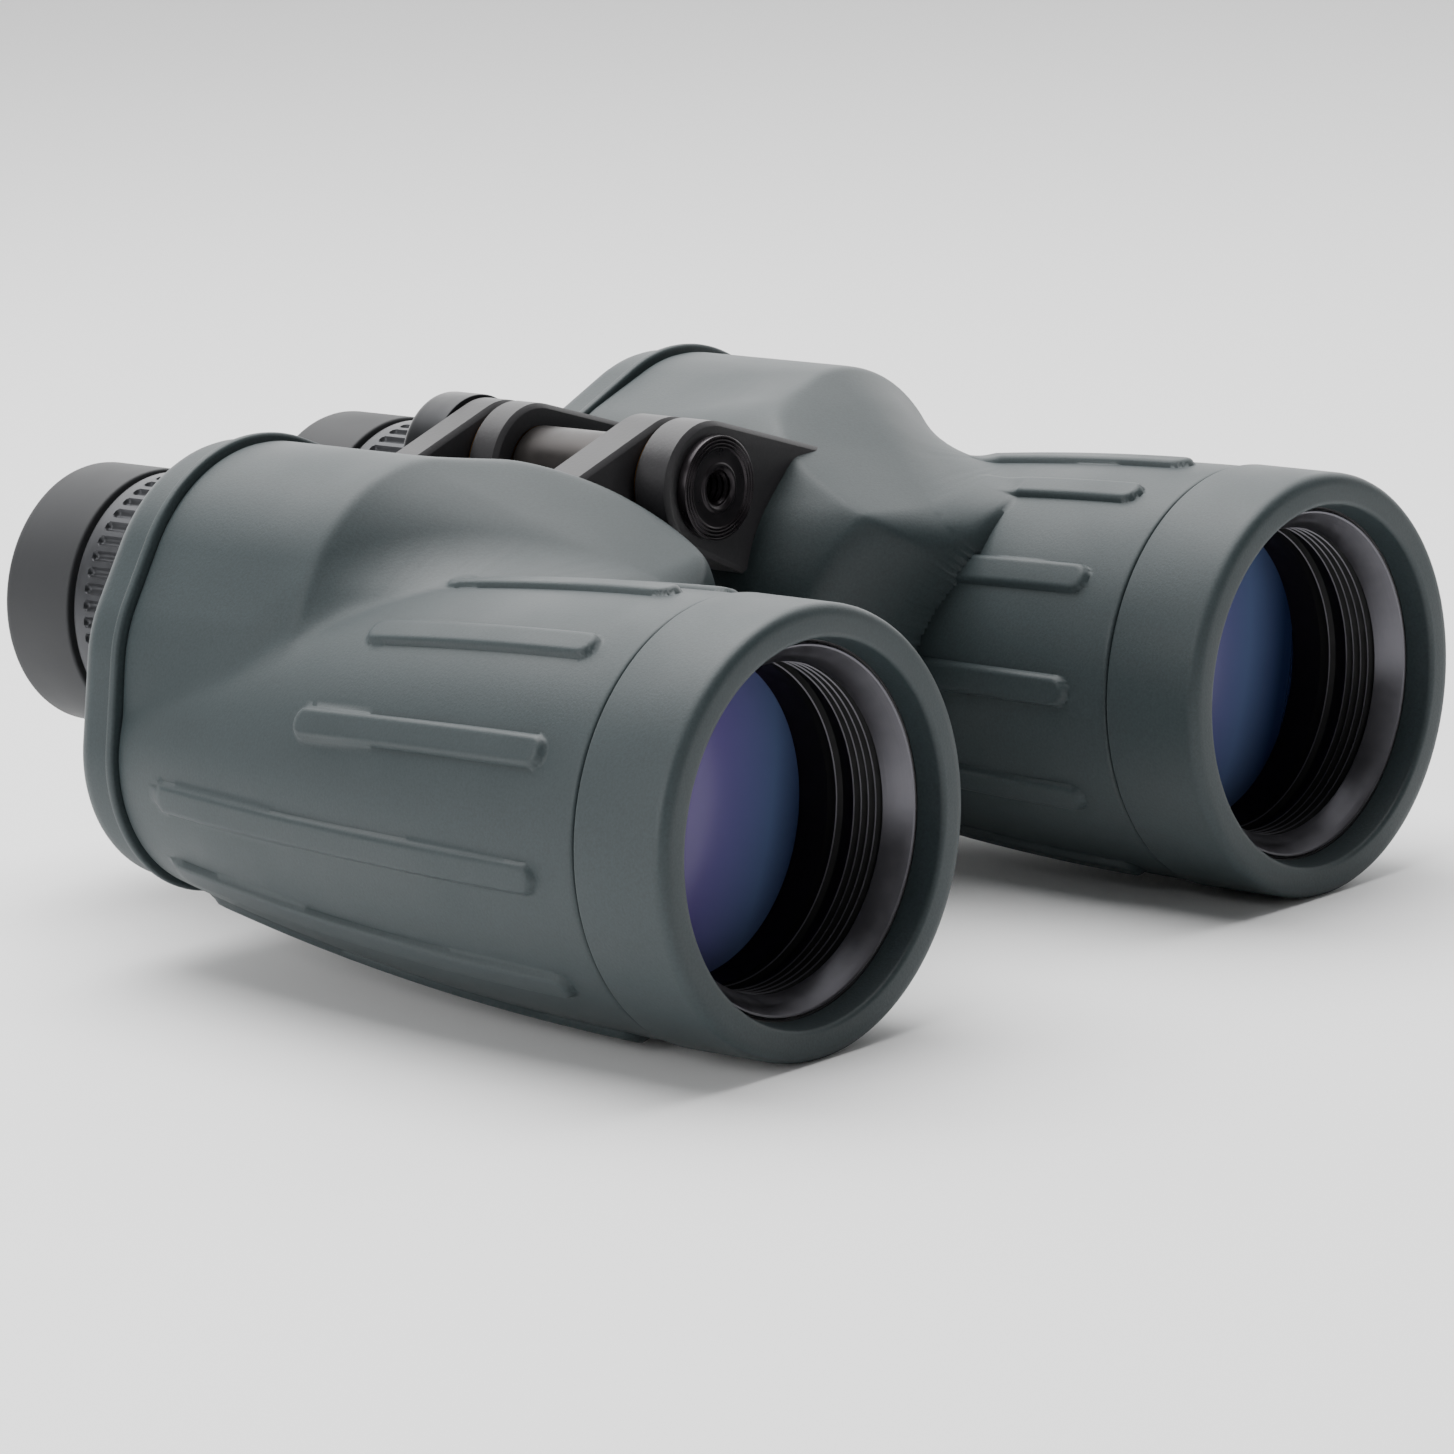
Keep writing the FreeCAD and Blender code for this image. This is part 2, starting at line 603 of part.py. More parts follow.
pieces["field_lens"] = lens(EYE_R, FIELD_LENS_Y + 2.0, 2.2, 0.6, 3.2, EYE_X, EYE_Z)
stop_y = FIELD_LENS_Y - 2.6
stop = tube(EYE_R + 0.1, 11.0, stop_y, FIELD_LENS_Y + 2.0 - 0.6, EYE_X, EYE_Z)
pieces["field_stop"] = stop
inner_eye = lens(EYE_R, EYE_LENS_Y + 1.2, 1.6, 1.0, 2.0, EYE_X, EYE_Z)
outer_blank = cyl(EYE_R, EYE_LENS_Y + 2.8, EYE_LENS_Y + 7.4, EYE_X, EYE_Z)
pieces["inner_eye_lens"] = inner_eye
pieces["outer_eye_lens"] = one(outer_blank.cut(inner_eye))
pieces["eye_lens_ring"] = turned((
    (EYE_R + 0.1, EYE_LENS_Y + 7.4),
    (EYE_R + 0.1, EYE_LENS_Y + 9.8),
    (EYE_R - 0.6, EYE_LENS_Y + 9.8),
    (EYE_R - 1.8, EYE_LENS_Y + 7.4),
), EYE_X, EYE_Z)

ring = tube(RING_R, GUIDE_R + TURN_FIT, RING_FRONT_Y, RING_WEB_Y, EYE_X, EYE_Z)
ring = ring.fuse(tube(RING_R, SLEEVE_R + TURN_FIT, RING_WEB_Y, RING_END_Y, EYE_X, EYE_Z))
ring = one(ring)
bars = []
for i in range(KNURLS):
    a = 2.0 * math.pi * i / KNURLS
    x = EYE_X + (RING_R - 0.25) * math.cos(a)
    z = EYE_Z + (RING_R - 0.25) * math.sin(a)
    bars.append(cyl(KNURL_R, KNURL_FRONT_Y, KNURL_END_Y, x, z))
ring = ring.fuse(bars)
pieces["focus_ring"] = one(ring)
retainer = tube(RETAINER_R, SLEEVE_R, RETAINER_Y, RETAINER_Y + RETAINER_T, EYE_X, EYE_Z)
gap = Part.makeBox(RETAINER_R + 1, RETAINER_T + 2, 1.6, V(EYE_X, RETAINER_Y - 1, EYE_Z - 0.8))
pieces["ring_retainer"] = one(retainer.cut(gap))
pieces["eyecup"] = one(turned((
    (SLEEVE_SPIGOT_R, CUP_Y + 2.0),
    (CUP_R - 3.0, CUP_Y + 2.0),
    (CUP_R - 3.0, CUP_Y),
    (CUP_R - 0.3, CUP_Y),
    (CUP_R, CUP_Y + 0.4),
    (CUP_R, LENGTH - 1.6),
    (CUP_R - 0.5, LENGTH - 0.4),
    (CUP_R - 1.3, LENGTH),
    (CUP_MOUTH_R + 0.6, LENGTH - 0.3),
    (CUP_MOUTH_R, LENGTH - 1.2),
    (SLEEVE_SPIGOT_R + 0.6, SLEEVE_END_Y + 0.6),
    (SLEEVE_SPIGOT_R - 1.6, SLEEVE_END_Y),
    (SLEEVE_SPIGOT_R, SLEEVE_END_Y),
), EYE_X, EYE_Z))

for name, shape in pieces.items():
    save("left_" + name, shape)
    save("right_" + name, mirrored(shape))

# ---------------------------------------------------------------- hinge
shaft = cyl(SHAFT_R, SHAFT_FRONT_Y, SHAFT_END_Y, 0, HINGE_Z)
shaft = shaft.cut(cyl(SOCKET_BODY_R, SHAFT_FRONT_Y - 1, SHAFT_FRONT_Y + SOCKET_LEN, 0, HINGE_Z))
save("hinge_shaft", shaft)

face_y = SHAFT_FRONT_Y - SOCKET_T
socket = cyl(SOCKET_R, face_y, SHAFT_FRONT_Y - 0.2, 0, HINGE_Z)
socket = socket.fuse(cyl(SOCKET_BODY_R, SHAFT_FRONT_Y - 0.3, SHAFT_FRONT_Y + SOCKET_LEN, 0, HINGE_Z))
socket = socket.cut(cyl(THREAD_R, face_y - 1, face_y + THREAD_LEN, 0, HINGE_Z))
for r in (4.4, 5.6, 6.8):
    socket = socket.cut(tube(r + 0.35, r - 0.35, face_y - 1, face_y + 0.5, 0, HINGE_Z))
save("tripod_socket", one(socket))

# each bush has a flange behind the knuckle that takes the place of a thrust washer
bush_r = SHAFT_R + SHAFT_FIT
bushes = []
for a, b in (LEFT_FRONT, LEFT_REAR):
    flange = tube(KNUCKLE_R - 1.0, bush_r, b, b + FLANGE_T, 0, HINGE_Z)
    bushes.append(one(tube(SHAFT_R + BUSH_T, bush_r, a, b, 0, HINGE_Z).fuse(flange)))
save("hinge_bushes", Part.makeCompound(bushes))
save("hinge_tube", tube(TUBE_R, SHAFT_R, RIGHT_FRONT[1], LEFT_REAR[0] - 0.3, 0, HINGE_Z))

nut = tube(NUT_R, SHAFT_R, RIGHT_REAR[1], RIGHT_REAR[1] + NUT_T, 0, HINGE_Z)
for i in range(4):
    notch = Part.makeBox(4.0, NUT_T + 2, 2.2, V(NUT_R - 1.6, RIGHT_REAR[1] - 1, -1.1))
    notch.rotate(V(0, 0, 0), V(0, 1, 0), 90.0 * i + 45.0)
    notch.translate(V(0, 0, HINGE_Z))
    nut = nut.cut(notch)
save("tension_nut", one(nut))
cap = turned((
    (CAP_R - CAP_WALL, RIGHT_REAR[1]),
    (CAP_R, RIGHT_REAR[1]),
    (CAP_R, CAP_END_Y - 1.2),
    (CAP_R - 0.4, CAP_END_Y - 0.4),
    (CAP_R - 1.2, CAP_END_Y),
    (0.0, CAP_END_Y),
    (0.0, CAP_END_Y - CAP_WALL),
    (CAP_R - CAP_WALL, CAP_END_Y - CAP_WALL),
), 0, HINGE_Z)
save("rear_hinge_cap", one(cap))
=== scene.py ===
# %% [markdown]
# # Rubber-armoured binoculars, a lesson in surfaces worked out with numpy
# Two prism telescopes fold about a hinge. The design gives every real size, so this
# script never guesses a place: it asks the frame where a piece lies and builds the
# visible skin there, in metres.

# %% Load the design
import math

import bpy
import numpy as np
from mathutils import Matrix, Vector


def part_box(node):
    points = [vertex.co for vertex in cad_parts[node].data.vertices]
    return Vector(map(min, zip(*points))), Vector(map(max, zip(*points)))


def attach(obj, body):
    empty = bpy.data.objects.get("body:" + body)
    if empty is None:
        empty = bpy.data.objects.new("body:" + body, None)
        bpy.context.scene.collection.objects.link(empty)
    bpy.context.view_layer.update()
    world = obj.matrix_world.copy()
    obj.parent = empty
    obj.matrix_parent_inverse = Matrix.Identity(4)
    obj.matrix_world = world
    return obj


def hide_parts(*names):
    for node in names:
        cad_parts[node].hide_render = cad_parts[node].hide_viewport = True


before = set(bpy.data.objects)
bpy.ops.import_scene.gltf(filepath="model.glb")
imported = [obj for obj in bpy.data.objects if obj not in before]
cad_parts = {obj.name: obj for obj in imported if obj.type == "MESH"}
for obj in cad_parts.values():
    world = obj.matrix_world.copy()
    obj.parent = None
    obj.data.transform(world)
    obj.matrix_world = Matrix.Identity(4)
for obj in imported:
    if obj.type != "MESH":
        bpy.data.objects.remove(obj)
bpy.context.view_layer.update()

# %% [markdown]
# Everything is easier to think about in millimetres, with y counted back from the
# front lips and z from the two objective axes. The boxes of the bumper, the eyecup
# and the hinge tube give those axes.

# %% Axes and stations from the design
MM = 0.001


def middle(node):
    """Middle of a piece of the design and its size, in millimetres."""
    low, high = (np.array(corner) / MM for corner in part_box(node))
    return (low + high) / 2.0, high - low


bumper_mid, bumper_size = middle("left_front_bumper")
eyecup_mid, eyecup_size = middle("left_eyecup")
hinge_mid, hinge_size = middle("hinge_tube")
BARREL_X, BARREL_Z = bumper_mid[0], bumper_mid[2]
FRONT = bumper_mid[1] - bumper_size[1] / 2.0
EYE_X, EYE_Z = eyecup_mid[0], eyecup_mid[2] - BARREL_Z
HINGE_Z = hinge_mid[2] - BARREL_Z
LENGTH = eyecup_mid[1] + eyecup_size[1] / 2.0 - FRONT
BUMPER_R = bumper_size[0] / 2.0
BARREL = (BARREL_X, 0.0)
EYE = (EYE_X, EYE_Z)
HINGE = (0.0, HINGE_Z)
print("barrel axis", BARREL, "eye axis", EYE, "hinge height", HINGE_Z, "length", LENGTH)

# %% [markdown]
# A skin is a grid of points: rows along the piece, columns round it. A grid that is
# closed both ways is a ring, such as a turned hoop with its bore. One that is closed
# only round gets a pole at each end. The signed volume says whether the faces look
# outwards, so a mirrored copy turns its faces by itself.


# %% From a grid of points to a mesh
def shell(grid, ring=True):
    """Corners and faces of a closed grid of points grid[row, column] in millimetres.

    ring joins the last row to the first; otherwise a fan to the mean of each end row
    closes it. The volume under all faces, a sixth of the sum of the products of their
    corners, is made positive by turning the faces."""
    rows, cols, _ = grid.shape
    ids = np.arange(rows * cols).reshape(rows, cols)
    here = ids if ring else ids[:-1]
    there = np.roll(ids, -1, 0) if ring else ids[1:]
    quads = np.stack([here, np.roll(here, -1, 1), np.roll(there, -1, 1), there], -1).reshape(-1, 4)
    points = grid.reshape(-1, 3)
    tris = np.zeros((0, 3), int)
    if not ring:
        points = np.vstack([points, grid[0].mean(0), grid[-1].mean(0)])
        first, last = rows * cols, rows * cols + 1
        start = np.stack([np.full(cols, first), np.roll(ids[0], -1), ids[0]], -1)
        end = np.stack([np.full(cols, last), ids[-1], np.roll(ids[-1], -1)], -1)
        tris = np.vstack([start, end])
    every = np.vstack([quads[:, :3], quads[:, [0, 2, 3]], tris])
    p = points - points.mean(0)
    volume = np.einsum("ij,ij->i", p[every[:, 0]], np.cross(p[every[:, 1]], p[every[:, 2]])).sum() / 6.0
    if volume < 0:
        quads, tris = quads[:, ::-1], tris[:, ::-1]
    return points, [quads, tris]


def mirrored(parts):
    """The same shells on the other side of the hinge plane, faces turned to match."""
    return [(points * (-1, 1, 1), [f[:, ::-1] for f in faces]) for points, faces in parts]


def piece(name, parts, finish, body, stands_for=(), sharp=35.0):
    """One object from several closed shells, riding on a body of the design."""
    corners, loops, sizes, start = [], [], [], 0
    for points, faces in parts:
        corners.append(points + (0.0, FRONT, BARREL_Z))
        for f in faces:
            loops.append((f + start).reshape(-1))
            sizes.append(np.full(len(f), f.shape[1]))
        start += len(points)
    corners, loops, sizes = (np.concatenate(a) for a in (corners, loops, sizes))
    mesh = bpy.data.meshes.new(name)
    mesh.vertices.add(len(corners))
    mesh.vertices.foreach_set("co", (corners * MM).astype(np.float32).reshape(-1))
    mesh.loops.add(len(loops))
    mesh.loops.foreach_set("vertex_index", loops.astype(np.int32))
    mesh.polygons.add(len(sizes))
    mesh.polygons.foreach_set("loop_start", (np.cumsum(sizes) - sizes).astype(np.int32))
    mesh.update(calc_edges=True)
    mesh.validate()
    mesh.shade_smooth()
    mesh.set_sharp_from_angle(angle=math.radians(sharp))
    mesh.materials.append(finish)
    made = bpy.data.objects.new(name, mesh)
    bpy.context.scene.collection.objects.link(made)
    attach(made, body)
    if stands_for:
        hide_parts(*stands_for)
    print(name, len(sizes), "faces on", body)
    return made


def both(name, parts, finish, body, node, sharp=35.0):
    """A piece for the left half and its mirror image for the right half."""
    for side, shells in (("left", parts), ("right", mirrored(parts))):
        piece(f"{side}_{name}_skin", shells, finish, f"{side}_{body}", [f"{side}_{node}"], sharp)


# %% [markdown]
# Most of an optical instrument is turned on a lathe. Its section is a polygon with
# broken edges, because a sharp turned edge would chip or cut, so one helper rounds
# each corner and another carries the section round an axis.


# %% Turned pieces
def softened(points, cut=0.3, steps=3):
    """A closed polygon with each corner replaced by a short parabola.

    A corner P between neighbours A and B starts at P + s(A-P) and ends at P + t(B-P),
    with s and t the cut length over the side, at most 0.45; in between the point is
    (1-k)^2 start + 2k(1-k) P + k^2 end."""
    p = np.array(points, float)
    a, b = np.roll(p, 1, 0), np.roll(p, -1, 0)
    cuts = np.broadcast_to(np.asarray(cut, float), len(p))[:, None]
    side_a = np.linalg.norm(a - p, axis=1, keepdims=True)
    side_b = np.linalg.norm(b - p, axis=1, keepdims=True)
    start = p + (a - p) * np.minimum(cuts / side_a, 0.45)
    end = p + (b - p) * np.minimum(cuts / side_b, 0.45)
    k = np.linspace(0.0, 1.0, steps + 1)[None, :, None]
    curve = (1 - k) ** 2 * start[:, None] + 2 * k * (1 - k) * p[:, None] + k ** 2 * end[:, None]
    return curve.reshape(-1, 2)


def turned(points, axis, around=160, cut=0.3, steps=3):
    """A section of (radius, station) corners carried once round an axis along y:
    x = axis x + radius cos(turn), z = axis z + radius sin(turn)."""
    section = softened(points, cut, steps)
    turn = np.linspace(0.0, 2.0 * math.pi, around, endpoint=False)
    radius, station = section[:, :1], section[:, 1:]
    grid = np.stack([
        axis[0] + radius * np.cos(turn),
        station + 0.0 * turn,
        axis[1] + radius * np.sin(turn),
    ], -1)
    return shell(grid)


# %% [markdown]
# ## Finishes
# Colours are written as the sRGB values that a colour chart gives and turned to
# linear light by one function. One more function adds a node.


# %% Helpers for materials
def linear(code):
    """A colour chart's #rrggbb as linear red, green, blue and alpha."""
    parts = [int(code[i:i + 2], 16) / 255.0 for i in (1, 3, 5)]
    return [c / 12.92 if c <= 0.04045 else ((c + 0.055) / 1.055) ** 2.4 for c in parts] + [1.0]


def add(tree, kind, links=None, values=None, **settings):
    """Adds one node with its settings, its values by socket, and links by socket."""
    made = tree.nodes.new(kind)
    for key, value in settings.items():
        setattr(made, key, value)
    for key, value in (values or {}).items():
        made.inputs[key].default_value = value
    for key, source in (links or {}).items():
        tree.links.new(source, made.inputs[key])
    return made


def new_finish(name):
    """An empty material, its tree, its shader and the coordinates in metres."""
    made = bpy.data.materials.new(name)
    made.use_nodes = True
    tree = made.node_tree
    tree.nodes.clear()
    shader = add(tree, "ShaderNodeBsdfPrincipled")
    add(tree, "ShaderNodeOutputMaterial", {"Surface": shader.outputs["BSDF"]})
    place = add(tree, "ShaderNodeTexCoord").outputs["Object"]
    return made, tree, shader, place


def grains_per_metre(size_mm):
    """Scale of a texture whose features are this many millimetres wide."""
    return 1.0 / (size_mm * MM)


# %% [markdown]
# The armour is a synthetic rubber skin, moulded in a tool whose surface was eroded
# by sparks. That leaves a fine dull grain that scatters light, a slightly uneven
# grey-green, and no clear reflections. It is drawn as two sizes of noise, in colour
# and as a very shallow bump.


# %% Moulded and painted finishes
def grained(name, colour, rough, grain_mm, depth_mm, spread=0.12, sheen=0.0, speck=0.0, metallic=0.0, ior=1.5):
    """A finely grained surface: colour and height both follow noise of one grain size,
    and a slow noise forty times as wide drifts the colour and the dullness a little."""
    made, tree, shader, place = new_finish(name)
    fine = add(tree, "ShaderNodeTexNoise", {"Vector": place}, {
        "Scale": grains_per_metre(grain_mm), "Detail": 3.0, "Roughness": 0.6})
    slow = add(tree, "ShaderNodeTexNoise", {"Vector": place}, {
        "Scale": grains_per_metre(grain_mm * 40.0), "Detail": 2.0, "Roughness": 0.5})
    tone = linear(colour)
    dark = [c * (1.0 - spread) for c in tone[:3]] + [1.0]
    light = [min(1.0, c * (1.0 + spread)) for c in tone[:3]] + [1.0]
    drift = add(tree, "ShaderNodeMix", {"Factor": slow.outputs["Fac"]}, data_type="RGBA")
    drift.inputs["A"].default_value = dark
    drift.inputs["B"].default_value = light
    fleck = add(tree, "ShaderNodeMapRange", {"Value": fine.outputs["Fac"]}, {
        "From Min": 0.3, "From Max": 0.7, "To Min": 1.0 - speck, "To Max": 1.0 + speck})
    mixed = add(tree, "ShaderNodeMix", {"A": drift.outputs["Result"]}, data_type="RGBA", blend_type="MULTIPLY")
    mixed.inputs["Factor"].default_value = 1.0
    tree.links.new(fleck.outputs["Result"], mixed.inputs["B"])
    tree.links.new(mixed.outputs["Result"], shader.inputs["Base Color"])
    dull = add(tree, "ShaderNodeMapRange", {"Value": slow.outputs["Fac"]}, {
        "From Min": 0.3, "From Max": 0.7, "To Min": rough - 0.04, "To Max": rough + 0.04})
    tree.links.new(dull.outputs["Result"], shader.inputs["Roughness"])
    bump = add(tree, "ShaderNodeBump", {"Height": fine.outputs["Fac"]}, {
        "Strength": 1.0, "Distance": depth_mm * MM})
    tree.links.new(bump.outputs["Normal"], shader.inputs["Normal"])
    shader.inputs["Metallic"].default_value = metallic
    if not metallic:
        shader.inputs["IOR"].default_value = ior
        shader.inputs["Specular IOR Level"].default_value = 0.36
    if sheen:
        shader.inputs["Sheen Weight"].default_value = sheen
        shader.inputs["Sheen Roughness"].default_value = 0.5
    return made


ARMOUR = grained("nitrile rubber, moulded in a spark-eroded tool", "#2d3638", 0.5, 0.45, 0.03, 0.07, 0.0, 0.14)
CUP = grained("soft rubber, moulded", "#2b2c2e", 0.62, 0.4, 0.012, 0.06, 0.0, 0.04)
CASTING = grained("cast aluminium, stove enamelled", "#2e2d2f", 0.42, 0.6, 0.03, 0.05, 0.0, 0.08)
DARK_CASTING = grained("cast aluminium, black enamelled", "#222325", 0.45, 0.5, 0.012, 0.05, 0.0, 0.03)
SEAL = grained("nitrile rubber, smooth", "#151515", 0.5, 0.8, 0.004)
NYLON = grained("nylon, moulded", "#1c1c1c", 0.4, 0.8, 0.003)

# %% [markdown]
# Aluminium tubes and rings are turned and then anodised black. Turning leaves a fine
# screw of tool marks, so the light is drawn out into streaks across them. The feed of
# a finishing tool is about 0.1 mm a turn; here the marks are 0.25 mm apart, as
# coarse as they need to be to show. The marks run round the piece, so the height
# follows the y coordinate only.


# %% Turned metal finishes
def turned_metal(name, colour, rough, metallic=1.0, mark_mm=0.25, depth_mm=0.004, spread=0.15, stretch=0.0):
    """Tool marks as noise along the axis, the same all the way round the piece."""
    made, tree, shader, place = new_finish(name)
    split = add(tree, "ShaderNodeSeparateXYZ", {"Vector": place})
    marks = add(tree, "ShaderNodeTexNoise", {"W": split.outputs["Y"]}, {
        "Scale": grains_per_metre(mark_mm), "Detail": 2.0}, noise_dimensions="1D")
    dust = add(tree, "ShaderNodeTexNoise", {"Vector": place}, {
        "Scale": grains_per_metre(2.5), "Detail": 4.0})
    tone = linear(colour)
    mix = add(tree, "ShaderNodeMix", {"Factor": dust.outputs["Fac"]}, data_type="RGBA")
    mix.inputs["A"].default_value = [c * (1.0 - spread) for c in tone[:3]] + [1.0]
    mix.inputs["B"].default_value = [min(1.0, c * (1.0 + spread)) for c in tone[:3]] + [1.0]
    tree.links.new(mix.outputs["Result"], shader.inputs["Base Color"])
    dull = add(tree, "ShaderNodeMapRange", {"Value": dust.outputs["Fac"]}, {
        "From Min": 0.3, "From Max": 0.7, "To Min": rough - 0.05, "To Max": rough + 0.05})
    tree.links.new(dull.outputs["Result"], shader.inputs["Roughness"])
    bump = add(tree, "ShaderNodeBump", {"Height": marks.outputs["Fac"]}, {
        "Strength": 1.0, "Distance": depth_mm * MM})
    tree.links.new(bump.outputs["Normal"], shader.inputs["Normal"])
    shader.inputs["Metallic"].default_value = metallic
    if stretch:
        shader.inputs["Anisotropic"].default_value = stretch
    return made


BLACK_METAL = turned_metal("aluminium, turned and anodised black", "#1d1e21", 0.38, 0.6)
RING_METAL = turned_metal("aluminium, milled and anodised grey", "#3f4043", 0.42, 0.6)
# The cone's own finish, also laid on the black baffle's thread crests as a painted highlight.
CONE_AND_CREST_HIGHLIGHT_METAL = turned_metal("aluminium, turned and anodised satin grey-black", "#5c5b60", 0.38, 0.9, 0.35, 0.02, 0.15, 0.5)
BAFFLE_METAL = turned_metal("aluminium, turned and dyed matt black", "#050506", 0.55, 0.0)
BAFFLE_METAL.node_tree.nodes["Principled BSDF"].inputs["Specular IOR Level"].default_value = 0.25
TUBE_METAL = turned_metal("aluminium, turned and anodised satin grey", "#343130", 0.4, 0.75)
STEEL = turned_metal("stainless steel, turned", "#a9abae", 0.3, 1.0)
BLACK_STEEL = turned_metal("steel, turned and blackened", "#2a2629", 0.32, 0.7)
BRONZE = turned_metal("bearing bronze, turned", "#9c7444", 0.35, 1.0)

# %% [markdown]
# A lens is ground and polished glass under a few layers of clear coating, each a
# quarter of a wavelength thick. The coating turns back only a little light, and the
# colour of that reflection moves from violet to blue to sea green as the glass is
# seen more from the side. Here Layer Weight paints that reflected colour into the
# base colour of a lens that lets no light through: a painted reflection over the
# coating's real tint. Behind the front lens lies the dark inside of the barrel, so its
# depth is drawn as a nearly black base under a clear gloss.


# %% Glass finishes
def coated_glass_painted_reflection(name, stops, rough=0.03):
    """Colour by how far the surface is turned from the line of sight, under gloss: the coating's reflection painted
    into the base colour.
    """
    made, tree, shader, place = new_finish(name)
    lean = add(tree, "ShaderNodeLayerWeight", None, {"Blend": 0.5})
    ramp = add(tree, "ShaderNodeValToRGB", {"Fac": lean.outputs["Facing"]})
    ramp.color_ramp.elements[0].position = stops[0][0]
    ramp.color_ramp.elements[0].color = linear(stops[0][1])
    ramp.color_ramp.elements[1].position = stops[-1][0]
    ramp.color_ramp.elements[1].color = linear(stops[-1][1])
    for at, code in stops[1:-1]:
        ramp.color_ramp.elements.new(at).color = linear(code)
    tree.links.new(ramp.outputs["Color"], shader.inputs["Base Color"])
    shader.inputs["Roughness"].default_value = rough
    shader.inputs["IOR"].default_value = 1.52
    return made


# Painted reflection: these stops are the coating's reflected colours, set as the lens's base colour.
FRONT_GLASS = coated_glass_painted_reflection("crown glass, ground and coated", (
    (0.10, "#6b4a80"), (0.24, "#644f88"), (0.36, "#5a5084"), (0.47, "#505e82"), (0.56, "#1b2746")), 0.22)
FRONT_GLASS.node_tree.nodes["Principled BSDF"].inputs["Specular IOR Level"].default_value = 0.22
# The eye lens's stops are painted reflection too, the coating's reflected colours as base colour.
EYE_GLASS = coated_glass_painted_reflection("crown glass, ground and coated for the eye", (
    (0.0, "#1d2b3c"), (0.4, "#2b3f66"), (0.9, "#4a6f86")))
CLEAR_GLASS, glass_tree, glass_shader, glass_place = new_finish("barium crown glass, ground and polished")
glass_shader.inputs["Base Color"].default_value = linear("#eef4f2")
glass_shader.inputs["Roughness"].default_value = 0.02
glass_shader.inputs["IOR"].default_value = 1.57
glass_shader.inputs["Transmission Weight"].default_value = 1.0

# %% [markdown]
# ## The armoured halves
# Each half is a barrel that grows a prism housing on its inboard side. Seen from the
# front the housing is a belt round wheels: the barrel itself, a top wheel, a middle
# and an inboard wheel. Forward of the prisms a sloping plane cuts the housing off,
# which leaves a D-shaped shoulder with a crisp rim. The whole skin can be seen from
# the barrel's axis, so it is one function, reach(angle, station).

# %% The armour's own sizes
BARREL_R = BUMPER_R - 0.5
SEAM = 130.0
ARMOUR_FRONT = 18.85
ARMOUR_T = 2.0
WALL_T = 2.2
TOP_WHEEL = (52.5, 20.0, 28.7)
MID_WHEEL = (38.0, 21.5, 25.0)
IN_WHEEL = (31.0, 15.5, 24.3)
OUT_WHEEL = (62.5, 14.0, 23.5)
SLOPE = 0.53
CREST = 94.5
CREST_SOFT = 1.2
SHRINK, DRAW = 0.65, 0.9
EDGE_SOFT = 1.1
NOSE_ROUND = 8.0
RIB_W, RIB_H, RIB_FRONT = 5.2, 1.15, 27.0
RIBS = (
    (90.0, 75.0), (58.0, 77.0), (26.5, 84.0), (-5.7, 119.0), (-38.5, 121.0), (-70.0, 123.0),
    (113.0, 63.0), (144.5, 62.5), (176.0, 62.0), (-152.5, 62.0), (-118.0, 75.0),
)


def barrel_r(station):
    """Radius of the barrel's skin: straight at the front, then a gentle parabola."""
    back = np.maximum(0.0, station - 20.0)
    return BARREL_R - 0.01 * back - 0.00089 * back ** 2


def smooth_step(value, start, end):
    """0 before start, 1 after end, and 3k^2 - 2k^3 between, with k the share of the way."""
    k = np.clip((value - start) / (end - start), 0.0, 1.0)
    return k * k * (3.0 - 2.0 * k)


def wheels(station):
    """The five wheels of the housing at each station: x, z and radius of each. The
    middle wheel swells forward of the seam, and towards the nose the inboard wheels
    draw back to the barrel by the square of the distance."""
    station = np.asarray(station, float)
    back = 0.0185 * np.maximum(0.0, 82.0 - station) ** 2
    swell = MID_WHEEL[2] - 2.6 * smooth_step(station, 90.0, 116.0)
    flat = 0.0 * station
    return (
        (BARREL_X + flat, flat, barrel_r(station) - 0.15),
        (TOP_WHEEL[0] + flat, TOP_WHEEL[1] + flat, TOP_WHEEL[2] + flat),
        (MID_WHEEL[0] + back, MID_WHEEL[1] + flat, swell),
        (IN_WHEEL[0] + back, IN_WHEEL[1] + flat, IN_WHEEL[2] + flat),
        (OUT_WHEEL[0] + flat, OUT_WHEEL[1] + flat, OUT_WHEEL[2] + flat),
    )


def shoulder_height(station):
    """Height of the sloping plane that cuts the housing off, above the barrel axis:
    the top behind the crest, SLOPE lower for each millimetre ahead of it, and a short
    parabola where the two meet."""
    ahead = CREST - station
    soft = SLOPE * (ahead + CREST_SOFT) ** 2 / (4.0 * CREST_SOFT)
    fall = np.where(ahead <= -CREST_SOFT, 0.0, np.where(ahead >= CREST_SOFT, SLOPE * ahead, soft))
    return TOP_WHEEL[1] + TOP_WHEEL[2] + 0.02 - fall


def rolling_wheels(station):
    """Barrel and a top wheel that shrinks ahead of the crest so that it always just
    touches the sloping plane: x, z and radius of each."""
    station = np.asarray(station, float)
    height = shoulder_height(station)
    fall = TOP_WHEEL[1] + TOP_WHEEL[2] + 0.02 - height
    shrunk = TOP_WHEEL[2] - SHRINK * fall
    return ((BARREL_X + 0.0 * station, 0.0 * station, barrel_r(station) - 0.15),
            (TOP_WHEEL[0] - DRAW * fall, height - shrunk, shrunk),
            (OUT_WHEEL[0] + 0.0 * station, OUT_WHEEL[1] - fall, OUT_WHEEL[2] - 0.5 * fall))


